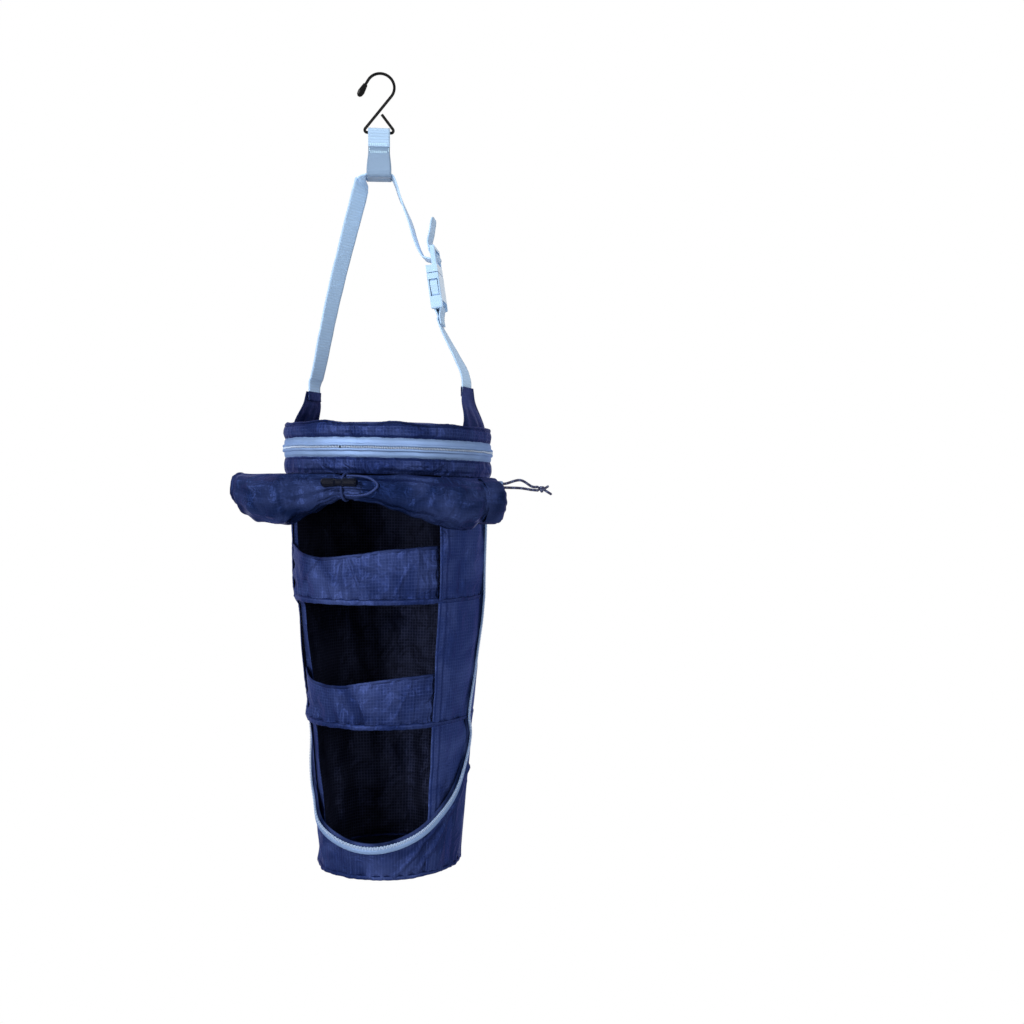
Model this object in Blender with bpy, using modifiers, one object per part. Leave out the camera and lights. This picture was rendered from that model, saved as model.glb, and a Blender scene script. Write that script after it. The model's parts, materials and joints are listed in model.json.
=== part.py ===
"""A collapsible hanging storage shelf: S-hook, webbing bail with a side-release buckle, a zipped
round case, and below it a fabric column with three shelves and a rolled-up front door.

The origin is the inner crown of the S-hook, where the shelf hangs. +Z is up and -Y is the front.
Angles round the column are measured from the front towards +X.
"""
import math

import bmesh
import bpy
from mathutils import Matrix, Vector

MM = 0.001
DEG = math.pi / 180.0

# Fits
GAP = 0.3 * MM              # clearance between touching pieces
FABRIC = 0.8 * MM           # hemmed nylon
WEB_T = 1.4 * MM            # thickness of the webbing
WEB_W = 21.0 * MM           # width of the webbing

# Hook and hanger tab, which face one way and are turned about Z as they hang
HANG_TURN = 25.0 * DEG
WIRE_R = 1.35 * MM
HOOK_R = 13.0 * MM          # centre line radius of the upper crook
HOOK_DROP = 54.0 * MM       # crown to the bar that carries the tab
HOOK_ARM = 17.0 * MM        # the short arm that rises from the bar's right end
HOOK_FLARE = 5.0 * MM       # straight end of the crook, before the tip
TIP_R = 3.3 * MM            # widest radius of the dipped tip
TIP_LENGTH = 13.0 * MM
TIP_SOCKET = 5.0 * MM       # how far the wire goes into the tip
TIP_LIP = 0.5 * MM
TAB_U = -1.2 * MM           # the tab's middle, along the bar
TAB_HEIGHT = 46.4 * MM
TAB_EYE = 6.0 * MM          # bar to the top of the stitching
TAB_SEWN = 13.0 * MM        # length in which both layers are sewn together
TAB_SIDE = 5.0 * MM         # upright sides of the lower loop
TAB_CORNER = 1.8 * MM
TAB_CHEEK = 40.0 * DEG      # how far the webbing follows the bar below its middle

# Bail
AXIS_X = 8.5 * MM           # the column's axis, beside the hook's crown
ANCHOR_Z = -298.0 * MM      # fold line of the bail
ANCHOR_R = 79.0 * MM
ANCHOR_LAP = 4.0 * MM       # strap and gusset overlap each other by this much
ANCHOR_STEM = 5.0 * MM      # upright part of the gusset below the fold line
STRAP_STEM = 9.0 * MM       # upright part of the strap above the fold line
BUCKLE_X = 55.0 * MM
BUCKLE_Z = -190.0 * MM      # the parting line
BUCKLE_TILT = 8.5 * DEG
BUCKLE_TURN = 12.0 * DEG    # about its own length, towards the front
BUCKLE_W = 27.5 * MM
BUCKLE_T = 11.0 * MM
FRAME_T = 4.6 * MM          # thickness of the ladder lock's frame
FRAME_H = 25.0 * MM
FRAME_TOP = 3.6 * MM        # depth of the frame's upper rail
BLOCK_H = 7.0 * MM          # the thick block that meets the socket
SOCKET_H = 33.0 * MM
SOCKET_WALL = 1.5 * MM
CAVITY_H = 24.5 * MM
SLOT_ROOM = 0.4 * MM        # beside the webbing in each slot
BAR_R = 2.0 * MM
GUIDE_W = 4.0 * MM
GUIDE_T = 4.0 * MM
GUIDE_L = 18.0 * MM
PRONG_X = 9.6 * MM          # the prong's root, beside the middle
PRONG_ROOT = 1.3 * MM       # half of its width there
PRONG_L = 22.0 * MM
PRONG_W = 4.2 * MM
PRONG_T = 6.6 * MM
SHOULDER_TOP = -7.6 * MM
SHOULDER_FLAT = 4.5 * MM
SHOULDER_END = -20.0 * MM
WINDOW_MARGIN = 1.6 * MM
TAIL_L = 27.0 * MM          # loose end of the strap above the ladder lock
FOLD_L = 14.0 * MM          # sewn fold of the short strap below the socket

# Case
CASE_R = 94.0 * MM
RIM_Z = -330.0 * MM
UPPER_BAND_H = 13.0 * MM
ZIP_BAND_H = 16.0 * MM
LOWER_BAND_H = 14.5 * MM
ZIP_PROUD = 1.6 * MM
COIL_R = 1.5 * MM
COVER_T = 1.0 * MM
COVER_DOME = 5.0 * MM
BAND_BELLY = 0.5 * MM
HOOP_R = 1.2 * MM
CASE_FLOOR_RISE = 3.2 * MM  # above the case's lower edge
ANCHOR_BASE_W = 50.0 * MM
ANCHOR_INSET = 4.6 * MM     # the gusset's foot, inside the rim
ANCHOR_TOP_W = 24.0 * MM

# Column
SHELF_1_Z = -482.0 * MM     # top faces of the floors
SHELF_2_Z = -591.0 * MM
BASE_Z = -725.0 * MM
COLUMN_INSET = 3.0 * MM      # from the case's wall to the column's, right below it
COLUMN_R = CASE_R - COLUMN_INSET
SHELF_1_R = 88.0 * MM       # fabric radius at each seam
SHELF_2_R = 77.5 * MM
BASE_R = 66.0 * MM
FLOOR_T = 2.4 * MM
BASE_T = 3.6 * MM
HEM_R = 1.5 * MM            # bound seams round the floors
FASCIA_HALF = 54.0 * DEG
FASCIA_1_H = 47.0 * MM
FASCIA_2_H = 44.0 * MM
FASCIA_DIP = 9.5 * MM
FASCIA_BELLY = 1.5 * MM
GATHER = 1.1 * MM           # depth of the gathers along a fascia's seam
GATHERS_PER_TURN = 31
FRONT_FOLD = 0.9 * MM
FRONT_FOLDS_PER_TURN = 34
DOOR_CENTRE = 10.0 * DEG
DOOR_HALF = 87.0 * DEG
DOOR_STRAIGHT_Z = -612.0 * MM
DOOR_BOTTOM_Z = -700.0 * MM
TAPE_W = 8.0 * MM
TAPE_T = 1.0 * MM

# Rolled-up door
ROLL_TOP_Z = -375.6 * MM
ROLL_LEFT = 93.5 * MM       # straight reach to the left of the axis
ROLL_BEND = 50.0 * DEG      # how far it follows the column
ROLL_RIGHT = 44.5 * MM      # straight end on the right
ROLL_R = 21.5 * MM
ROLL_WAIST = 0.46           # share of the radius left where it is tied
ROLL_WAIST_AT = 0.436       # share of its length
ROLL_CLEAR = 0.3 * MM
ROLL_WALL = 1.2 * MM        # the rolled layers; the middle of the roll is hollow
ROLL_EYE = 7.0 * MM         # radius of the hollow at the roll's ends
CUFF_L = 18.0 * MM
CUFF_WALL = 1.2 * MM
TOGGLE_L = 32.0 * MM
TOGGLE_R = 3.6 * MM
TOGGLE_WAIST_R = 2.9 * MM   # where the tie lies in its groove
TOGGLE_GROOVE = 5.0 * MM
TOGGLE_LEAN = 18.0 * DEG    # above the roll's foremost line
TIE_R = 1.1 * MM
DOOR_SLIDER_RISE = 12.0 * MM
DOOR_SLIDER_T = 4.8 * MM
PULL_CORD_R = 1.2 * MM
PULL_CORD_L = 37.0 * MM
KNOT_R = 3.2 * MM

# Top zip slider, and the carry loop on the base
SLIDER_AT = 172.0 * DEG
SLIDER_L = 11.0 * MM
SLIDER_H = 8.0 * MM
SLIDER_T = 1.3 * MM
EAR_T = 1.6 * MM
EAR_H = 3.2 * MM
EAR_REACH = 3.4 * MM
PIN_REACH = 2.0 * MM
PULL_L = 20.0 * MM
PULL_W = 5.0 * MM
PULL_T = 1.6 * MM
LOOP_W = 21.0 * MM
LOOP_SLOT = 8.0 * MM        # between the loop's legs
LOOP_DROP = 34.0 * MM

RING_STEPS = 48

parts = bpy.data.collections.new("collapsible_storage_shelf")
cutters = bpy.data.collections.new("cutters")


def clear_scene():
    """Remove what the file opened with."""
    for item in list(bpy.data.objects):
        bpy.data.objects.remove(item, do_unlink=True)
    bpy.context.scene.collection.children.link(parts)
    bpy.context.scene.collection.children.link(cutters)


def make_material(name, colour, roughness, metallic=0.0):
    """A plain Principled BSDF material."""
    material = bpy.data.materials.new(name)
    material.use_nodes = True
    shader = material.node_tree.nodes["Principled BSDF"]
    shader.inputs["Base Color"].default_value = (*colour, 1.0)
    shader.inputs["Roughness"].default_value = roughness
    shader.inputs["Metallic"].default_value = metallic
    return material


NAVY = ("navy_nylon", (0.013, 0.016, 0.085), 0.5, 0.0)
LINING = ("dark_ripstop", (0.006, 0.008, 0.04), 0.6, 0.0)
WEBBING = ("pale_blue_webbing", (0.35, 0.53, 0.82), 0.6, 0.0)
BUCKLE = ("pale_blue_acetal", (0.62, 0.76, 0.93), 0.35, 0.0)
ZIP_BLUE = ("zip_tape", (0.2, 0.3, 0.58), 0.5, 0.0)
BLACK_WIRE = ("black_coated_wire", (0.01, 0.01, 0.01), 0.35, 0.6)
VINYL = ("black_vinyl", (0.012, 0.012, 0.012), 0.4, 0.0)
SLATE = ("slate_webbing", (0.09, 0.14, 0.2), 0.6, 0.0)
CORD = ("navy_cord", (0.02, 0.025, 0.07), 0.6, 0.0)
METAL = ("painted_zinc", (0.2, 0.3, 0.58), 0.35, 0.7)


def add_part(name, data, finish, matrix=None):
    """Link a mesh or a curve as one named part with its own material."""
    item = bpy.data.objects.new(name, data)
    parts.objects.link(item)
    data.materials.clear()
    data.materials.append(make_material(name + "_" + finish[0], *finish[1:]))
    if matrix is not None:
        item.matrix_world = matrix
    return item


def round_point(angle, radius, z):
    """A point at an angle from the front, a radius from the column's axis and a height."""
    return Vector((AXIS_X + radius * math.sin(angle), -radius * math.cos(angle), z))


def mix(low, high, share):
    """A value part of the way from low to high."""
    return low + (high - low) * share


def smooth_route(points, per_span=6):
    """Points along a smooth curve through the given ones."""
    knots = [Vector(p) for p in points]
    knots = [knots[0] * 2 - knots[1]] + knots + [knots[-1] * 2 - knots[-2]]
    route = []
    for i in range(1, len(knots) - 2):
        before, start, end, after = knots[i - 1:i + 3]
        for step in range(per_span):
            t = step / per_span
            route.append(0.5 * ((2 * start) + (end - before) * t
                                + (2 * before - 5 * start + 4 * end - after) * t * t
                                + (3 * start - before - 3 * end + after) * t ** 3))
    route.append(knots[-2])
    return route


def grid_mesh(name, rows, closed=False):
    """An open surface from rows of points; closed joins each row's end to its start."""
    work = bmesh.new()
    lines = [[work.verts.new(p) for p in row] for row in rows]
    count = len(rows[0])
    spans = count if closed else count - 1
    for upper, lower in zip(lines, lines[1:]):
        for i in range(spans):
            j = (i + 1) % count
            work.faces.new((upper[i], lower[i], lower[j], upper[j]))
    mesh = bpy.data.meshes.new(name)
    work.to_mesh(mesh)
    work.free()
    mesh.shade_smooth()
    return mesh


def sheet(name, rows, thickness, finish, closed=False):
    """Fabric: an open surface with Solidify, half to each side."""
    item = add_part(name, grid_mesh(name, rows, closed), finish)
    solid = item.modifiers.new("thickness", "SOLIDIFY")
    solid.thickness = thickness
    solid.offset = 0.0
    solid.use_even_offset = True
    return item


def wall(name, angles, z_top, z_bottom, r_top, r_bottom, finish=NAVY, steps=2):
    """A strip of the column's wall between two angles."""
    start, end = angles
    columns = max(2, int(round((end - start) / (6 * DEG))))
    rows = []
    for k in range(steps + 1):
        share = k / steps
        rows.append([round_point(mix(start, end, i / columns), mix(r_top, r_bottom, share),
                                 mix(z_top, z_bottom, share)) for i in range(columns + 1)])
    return sheet(name, rows, FABRIC, finish)


def ring_sheet(name, profile, thickness, finish):
    """A closed band: profile is a list of (radius, z) from the top down."""
    rows = []
    for radius, z in profile:
        rows.append([round_point(2 * math.pi * i / RING_STEPS, radius, z)
                     for i in range(RING_STEPS)])
    return sheet(name, rows, thickness, finish, closed=True)


def turned(name, profile, finish, steps=32, matrix=None):
    """A turned solid: the profile at +X runs from the top down, and Screw turns it about Z."""
    mesh = bpy.data.meshes.new(name)
    edges = [(i, i + 1) for i in range(len(profile) - 1)]
    mesh.from_pydata([(r, 0, z) for r, z in profile], edges, [])
    item = add_part(name, mesh, finish, matrix)
    screw = item.modifiers.new("turn", "SCREW")
    screw.axis = "Z"
    screw.steps = steps
    screw.render_steps = steps
    screw.use_merge_vertices = True
    screw.merge_threshold = 0.00001
    screw.use_smooth_shade = True
    return item


def wire(name, route, radius, finish, radii=None, closed=False, resolution=2):
    """A round wire, cord or tube along a route."""
    curve = bpy.data.curves.new(name, "CURVE")
    curve.dimensions = "3D"
    curve.bevel_depth = radius
    curve.bevel_resolution = resolution
    curve.use_fill_caps = True
    spline = curve.splines.new("POLY")
    spline.points.add(len(route) - 1)
    for i, point in enumerate(route):
        spline.points[i].co = (*point, 1.0)
        if radii:
            spline.points[i].radius = radii[i] / radius
    spline.use_cyclic_u = closed
    return add_part(name, curve, finish)


def plate(name, outlines, thickness, finish, matrix):
    """A flat outline, with holes, given thickness to both sides."""
    curve = bpy.data.curves.new(name, "CURVE")
    curve.dimensions = "2D"
    curve.fill_mode = "BOTH"
    curve.extrude = thickness / 2
    for outline in outlines:
        spline = curve.splines.new("POLY")
        spline.points.add(len(outline) - 1)
        for i, (x, y) in enumerate(outline):
            spline.points[i].co = (x, y, 0, 1)
        spline.use_cyclic_u = True
    return add_part(name, curve, finish, matrix)


def ribbon(name, route, sides, width, thickness, finish):
    """Webbing: a strip along a route, as wide as width towards sides, kept square to the run."""
    rows = []
    last = len(route) - 1
    for i, centre in enumerate(route):
        run = (route[min(i + 1, last)] - route[max(i - 1, 0)]).normalized()
        side = (sides[i] - run * sides[i].dot(run)).normalized()
        rows.append([centre - side * width / 2, centre + side * width / 2])
    return sheet(name, rows, thickness, finish)


def spread(values, count):
    """Values at even steps along a list of vectors."""
    result = []
    for i in range(count):
        place = i * (len(values) - 1) / (count - 1)
        low = min(int(place), len(values) - 2)
        result.append(values[low].lerp(values[low + 1], place - low))
    return result


# The hook and the hanger tab face one way, turned about Z
HANG_RIGHT = Vector((math.cos(HANG_TURN), math.sin(HANG_TURN), 0))
HANG_OUT = Vector((math.sin(HANG_TURN), -math.cos(HANG_TURN), 0))
UP = Vector((0, 0, 1))
FRONT = Vector((0, -1, 0))
BAR_Z = -HOOK_DROP
BEND_R = 2.2 * MM
CROOK_START = 150.0 * DEG
CROOK_END = -35.0 * DEG
STEM_LEAN = 141.0 * DEG
ARM_LEAN = 37.4 * DEG


def hang_point(along, z, out=0.0):
    """A point in the hook's plane: along the bar, its height, and out of the plane."""
    return HANG_RIGHT * along + HANG_OUT * out + UP * z


def arc(centre, radius, start, end, steps):
    """Points of an arc in a plane."""
    return [(centre[0] + radius * math.cos(mix(start, end, i / steps)),
             centre[1] + radius * math.sin(mix(start, end, i / steps))) for i in range(steps + 1)]


def make_hook():
    """The S-hook: an upper crook, a leaning stem, the bar that carries the tab and a short arm."""
    crook = arc((0, WIRE_R - HOOK_R), HOOK_R, CROOK_START, CROOK_END, 18)
    tip_run = Vector((-math.sin(CROOK_START), math.cos(CROOK_START)))
    mouth = Vector(crook[0]) + tip_run * HOOK_FLARE
    start = mouth + tip_run * (TIP_SOCKET - GAP)
    half_bar = WEB_W / 2 + 2 * GAP
    left = arc((TAB_U - half_bar, BAR_Z + BEND_R), BEND_R, STEM_LEAN, 270 * DEG, 6)
    right = arc((TAB_U + half_bar, BAR_Z + BEND_R), BEND_R, -90 * DEG, ARM_LEAN, 6)
    arm = Vector(right[-1]) + Vector((-math.sin(ARM_LEAN), math.cos(ARM_LEAN))) * HOOK_ARM
    flat = [tuple(start)] + crook + left + right + [tuple(arm)]
    wire("s_hook", [hang_point(u, z) for u, z in flat], WIRE_R, BLACK_WIRE, resolution=3)
    away = (HANG_RIGHT * tip_run[0] + UP * tip_run[1]).normalized()
    place = Matrix.Translation(hang_point(*mouth)) @ (-away).to_track_quat("Z", "Y").to_matrix().to_4x4()
    bore = WIRE_R + GAP
    profile = [(0, -TIP_SOCKET), (bore, -TIP_SOCKET), (bore, 0), (bore + TIP_LIP, 0),
               (TIP_R * 0.8, -TIP_LENGTH * 0.25), (TIP_R, -TIP_LENGTH * 0.62),
               (TIP_R * 0.8, -TIP_LENGTH * 0.86), (TIP_R * 0.4, -TIP_LENGTH * 0.98), (0, -TIP_LENGTH)]
    turned("hook_tip_cap", profile, VINYL, steps=20, matrix=place)


def make_tab():
    """The hanger tab: one webbing loop round the hook's bar, sewn shut below it, and open again
    as a triangle whose floor carries the strap."""
    inner = WIRE_R + GAP
    outer = inner + WEB_T
    sewn = WEB_T + 0.05 * MM
    top_end = BAR_Z - TAB_EYE
    sewn_end = top_end - TAB_SEWN
    floor = BAR_Z + outer - TAB_HEIGHT
    foot = WEB_W / 2 + GAP + WEB_T
    side = [(sewn, top_end), (sewn, sewn_end), (foot, floor + TAB_SIDE), (foot, floor + TAB_CORNER),
            (foot - TAB_CORNER, floor)]
    outline = arc((0, BAR_Z), outer, -TAB_CHEEK, math.pi + TAB_CHEEK, 16)
    outline += [(-x, z) for x, z in side] + list(reversed(side))
    eye = arc((0, BAR_Z), inner, 0, 2 * math.pi * 23 / 24, 23)
    reach = foot - WEB_T
    rise = floor + TAB_SIDE
    loop = [(0, sewn_end - WEB_T), (-reach, rise), (-reach, floor + WEB_T), (reach, floor + WEB_T),
            (reach, rise)]
    axes = Matrix((HANG_OUT, UP, -HANG_RIGHT)).transposed().to_4x4()
    plate("hanger_tab", [outline, eye, loop], WEB_W, WEBBING,
          Matrix.Translation(HANG_RIGHT * TAB_U) @ axes)
    return floor + WEB_T + GAP + WEB_T / 2


# The buckle's own frame: x across the webbing towards the front, y outwards, z up along the strap
BUCKLE_MATRIX = (Matrix.Translation((BUCKLE_X, 0, BUCKLE_Z)) @ Matrix.Rotation(-BUCKLE_TILT, 4, "Y")
                 @ Matrix.Rotation(BUCKLE_TURN - 90 * DEG, 4, "Z"))
BUCKLE_SIDE = BUCKLE_MATRIX.to_3x3().col[0].copy()
SLOT_HALF = WEB_W / 2 + SLOT_ROOM
WRAP_R = BAR_R + GAP + WEB_T / 2
WINDOW_LOW = BLOCK_H + 1.0 * MM
LADDER_BAR = (WINDOW_LOW + FRAME_H - FRAME_TOP) / 2 + 0.3 * MM
FRAME_OUT = (BUCKLE_T - FRAME_T) / 2 - GAP
TAIL_OUT = FRAME_OUT - FRAME_T / 2 - GAP - WEB_T / 2
SOCKET_BAR = SOCKET_H - BAR_R


def buckle_point(out, up, across=0.0):
    """A point in the buckle's frame, in world coordinates."""
    return BUCKLE_MATRIX @ Vector((across, out, up))


def box_mesh(name, low, high):
    """A box between two corners."""
    work = bmesh.new()
    bmesh.ops.create_cube(work, size=1.0)
    size = [b - a for a, b in zip(low, high)]
    middle = Vector([(a + b) / 2 for a, b in zip(low, high)])
    bmesh.ops.scale(work, vec=size, verts=work.verts)
    bmesh.ops.translate(work, vec=middle, verts=work.verts)
    mesh = bpy.data.meshes.new(name)
    work.to_mesh(mesh)
    work.free()
    return mesh


def rod_mesh(name, radius, length, centre, steps=20):
    """A rod along X."""
    work = bmesh.new()
    turn = Matrix.Translation(centre) @ Matrix.Rotation(math.pi / 2, 4, "Y")
    bmesh.ops.create_cone(work, cap_ends=True, segments=steps, radius1=radius, radius2=radius,
                          depth=length, matrix=turn)
    mesh = bpy.data.meshes.new(name)
    work.to_mesh(mesh)
    work.free()
    return mesh


def combine(item, mesh, operation, matrix):
    """Cut a mesh out of a part, or join it on, with a Boolean modifier."""
    tool = bpy.data.objects.new(mesh.name, mesh)
    cutters.objects.link(tool)
    tool.matrix_world = matrix
    tool.hide_render = True
    tool.display_type = "WIRE"
    change = item.modifiers.new(mesh.name, "BOOLEAN")
    change.operation = operation
    change.object = tool


def round_edges(item, width, segments=2):
    """Rounded edges on a moulding."""
    bevel = item.modifiers.new("edges", "BEVEL")
    bevel.width = width
    bevel.segments = segments
    bevel.limit_method = "ANGLE"


def make_buckle():
    """The side-release buckle: a ladder-lock frame with its centre guide, and the socket."""
    half_w = BUCKLE_W / 2
    half_t = BUCKLE_T / 2
    frame_mesh = box_mesh("buckle_male", (-half_w, FRAME_OUT - FRAME_T / 2, GAP / 2),
                          (half_w, FRAME_OUT + FRAME_T / 2, FRAME_H))
    frame = add_part("buckle_male", frame_mesh, BUCKLE, BUCKLE_MATRIX)
    round_edges(frame, 0.9 * MM)
    combine(frame, box_mesh("block", (-half_w, -half_t + GAP, GAP / 2), (half_w, half_t - GAP, BLOCK_H)),
            "UNION", BUCKLE_MATRIX)
    combine(frame, box_mesh("ladder_window", (-SLOT_HALF, FRAME_OUT - FRAME_T, WINDOW_LOW),
                            (SLOT_HALF, FRAME_OUT + FRAME_T, FRAME_H - FRAME_TOP)),
            "DIFFERENCE", BUCKLE_MATRIX)
    bar_length = SLOT_HALF + half_w
    combine(frame, rod_mesh("ladder_bar", BAR_R, bar_length, (0, FRAME_OUT, LADDER_BAR)),
            "UNION", BUCKLE_MATRIX)
    combine(frame, box_mesh("guide", (-GUIDE_W / 2, -GUIDE_T / 2, -GUIDE_L),
                            (GUIDE_W / 2, GUIDE_T / 2, BLOCK_H / 2)), "UNION", BUCKLE_MATRIX)

    socket = add_part("buckle_female", box_mesh("buckle_female", (-half_w, -half_t, -SOCKET_H),
                                                (half_w, half_t, -GAP / 2)), BUCKLE, BUCKLE_MATRIX)
    round_edges(socket, 1.2 * MM)
    inner_x = half_w - SOCKET_WALL
    inner_y = half_t - SOCKET_WALL
    combine(socket, box_mesh("cavity", (-inner_x, -inner_y, -CAVITY_H), (inner_x, inner_y, BUCKLE_T)),
            "DIFFERENCE", BUCKLE_MATRIX)
    combine(socket, box_mesh("windows", (-BUCKLE_W, -inner_y, SHOULDER_END - WINDOW_MARGIN),
                             (BUCKLE_W, inner_y, SHOULDER_TOP + WINDOW_MARGIN)),
            "DIFFERENCE", BUCKLE_MATRIX)
    combine(socket, box_mesh("web_slot", (-SLOT_HALF, -BUCKLE_T, -SOCKET_H - BUCKLE_T),
                             (SLOT_HALF, BUCKLE_T, -CAVITY_H - SOCKET_WALL)), "DIFFERENCE", BUCKLE_MATRIX)
    combine(socket, rod_mesh("web_bar", BAR_R, bar_length, (0, 0, -SOCKET_BAR)), "UNION", BUCKLE_MATRIX)

    outer = inner_x - GAP
    inner = outer - PRONG_W
    shape = [(PRONG_X - PRONG_ROOT, -GAP), (PRONG_X + PRONG_ROOT, -GAP),
             (PRONG_X + PRONG_ROOT, SHOULDER_TOP * 0.6), (outer, SHOULDER_TOP + 2 * GAP),
             (half_w, SHOULDER_TOP), (half_w, SHOULDER_TOP - SHOULDER_FLAT), (outer, SHOULDER_END),
             (outer - SOCKET_WALL, -PRONG_L), (inner, -PRONG_L), (inner, SHOULDER_TOP)]
    upright = Matrix.Rotation(math.pi / 2, 4, "X")
    for name, sign in (("buckle_prong_front", 1), ("buckle_prong_back", -1)):
        pivot = Matrix.Translation((sign * PRONG_X, 0, 0))
        outline = [(sign * (x - PRONG_X), z) for x, z in shape]
        plate(name, [outline], PRONG_T, BUCKLE, BUCKLE_MATRIX @ pivot @ upright)


def wrap(bar_out, bar_up, start, end, steps=8):
    """The turn of webbing round a bar of the buckle."""
    return [buckle_point(bar_out + WRAP_R * math.cos(mix(start, end, i / steps)),
                         bar_up + WRAP_R * math.sin(mix(start, end, i / steps)))
            for i in range(steps + 1)]


def make_straps(tab_floor):
    """The long strap from the left anchor over the tab's floor, down behind the ladder lock, in
    below its bar, over the bar and out behind the frame as its tail, and the short strap from the
    socket to the right anchor."""
    inside = ANCHOR_R - (FABRIC + WEB_T) / 2 - GAP
    left = Vector((AXIS_X - inside, 0, ANCHOR_Z))
    right = Vector((AXIS_X + inside, 0, ANCHOR_Z))
    turned_in = Vector((-0.36, -0.93, 0))
    edge = WEB_W / 2
    lap = ANCHOR_LAP - 2 * GAP
    sewn = [left - UP * lap, left + UP * STRAP_STEM / 3, left + UP * STRAP_STEM,
            left + Vector((1.3, 0, 15)) * MM, left + Vector((4.5, 0, 24)) * MM,
            left + Vector((26, -2, 98)) * MM,
            hang_point(TAB_U - edge - 8.4 * MM, tab_floor - 22 * MM),
            hang_point(TAB_U - edge - 4.4 * MM, tab_floor - 6 * MM),
            hang_point(TAB_U - edge - 2.4 * MM, tab_floor - 1.4 * MM)]
    sides = [FRONT, FRONT, FRONT, FRONT, FRONT, turned_in, turned_in, turned_in, HANG_OUT]
    over = [hang_point(TAB_U - edge + 1 * MM, tab_floor), hang_point(TAB_U, tab_floor),
            hang_point(TAB_U + edge - 1 * MM, tab_floor)]
    down = [hang_point(TAB_U + edge + 2.4 * MM, tab_floor - 1.4 * MM),
            hang_point(TAB_U + edge + 4.6 * MM, tab_floor - 6 * MM),
            hang_point(TAB_U + edge + 9 * MM, tab_floor - 18 * MM),
            Vector((27.5, 2, -132)) * MM, buckle_point(-9.4 * MM, 34 * MM),
            buckle_point(-6.2 * MM, FRAME_H), buckle_point(-2.8 * MM, LADDER_BAR + 3 * MM)]
    route = smooth_route(sewn + over + down, 5)
    count = len(route)
    directions = spread(sides + [HANG_OUT] * 6 + [BUCKLE_SIDE] * 4, count)
    turn = wrap(FRAME_OUT, LADDER_BAR, 200 * DEG, 450 * DEG, 11)
    rise = FRAME_OUT - TAIL_OUT
    turn += [buckle_point(FRAME_OUT - rise * math.sin(i * 18 * DEG),
                          LADDER_BAR + WRAP_R + rise * (1 - math.cos(i * 18 * DEG))) for i in range(1, 6)]
    tail = smooth_route([buckle_point(TAIL_OUT, FRAME_H - FRAME_TOP / 2), buckle_point(TAIL_OUT, FRAME_H),
                         buckle_point(TAIL_OUT - 1.2 * MM, FRAME_H + 0.35 * TAIL_L),
                         buckle_point(TAIL_OUT + 0.6 * MM, FRAME_H + 0.65 * TAIL_L),
                         buckle_point(TAIL_OUT + 2.4 * MM, FRAME_H + TAIL_L)], 4)
    full = route + turn + tail
    ribbon("long_strap", full, directions + [BUCKLE_SIDE] * (len(turn) + len(tail)), WEB_W, WEB_T,
           WEBBING)

    fold = (WEB_T + GAP) / 2
    rise = [right - UP * lap, right + UP * STRAP_STEM / 3, right + UP * STRAP_STEM,
            right + Vector((-1.4, 0, 15)) * MM, right + Vector((-5, 0, 24)) * MM,
            buckle_point(-fold, -SOCKET_H - FOLD_L),
            buckle_point(-fold, -SOCKET_H - FOLD_L / 2), buckle_point(-WRAP_R, -SOCKET_BAR - 1 * MM)]
    rise = smooth_route(rise, 4)
    turn = wrap(0.0, -SOCKET_BAR, math.pi, 0)
    end = smooth_route([buckle_point(WRAP_R, -SOCKET_BAR - 1 * MM),
                        buckle_point(fold, -SOCKET_H - FOLD_L / 2),
                        buckle_point(fold, -SOCKET_H - FOLD_L)], 4)
    full = rise + turn + end
    directions = spread([FRONT] * 5 + [BUCKLE_SIDE] * 3, len(rise))
    ribbon("short_strap", full, directions + [BUCKLE_SIDE] * (len(turn) + len(end)), WEB_W, WEB_T,
           WEBBING)


# Heights of the case
ZIP_TOP = RIM_Z - UPPER_BAND_H
ZIP_MID = ZIP_TOP - ZIP_BAND_H / 2
ZIP_BOTTOM = ZIP_TOP - ZIP_BAND_H
CASE_BOTTOM = ZIP_BOTTOM - LOWER_BAND_H
LINER_R = CASE_R - FABRIC / 2 - GAP
COIL_RING_R = CASE_R + ZIP_PROUD
CASE_FLOOR_Z = CASE_BOTTOM + CASE_FLOOR_RISE
SEAM_1 = SHELF_1_Z - FLOOR_T / 2
SEAM_2 = SHELF_2_Z - FLOOR_T / 2
SEAM_3 = BASE_Z - FLOOR_T / 2


def ring_wire(name, radius, z, thickness, finish, resolution=1):
    """A closed round ring about the column's axis."""
    route = [round_point(2 * math.pi * i / RING_STEPS, radius, z) for i in range(RING_STEPS)]
    return wire(name, route, thickness, finish, closed=True, resolution=resolution)


def disc(name, radius, z_top, thickness, finish, dome=0.0):
    """A round panel about the column's axis, raised by dome at its middle."""
    flat = radius * 0.9
    rise = [(flat * i / 4, z_top + dome * (1 - (i / 4) ** 2)) for i in range(5)] if dome else []
    top = rise or [(0, z_top)]
    profile = top + [(radius, z_top), (radius, z_top - thickness)]
    profile += [(r, z - thickness) for r, z in reversed(top)]
    return turned(name, profile, finish, steps=RING_STEPS, matrix=Matrix.Translation((AXIS_X, 0, 0)))


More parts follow.
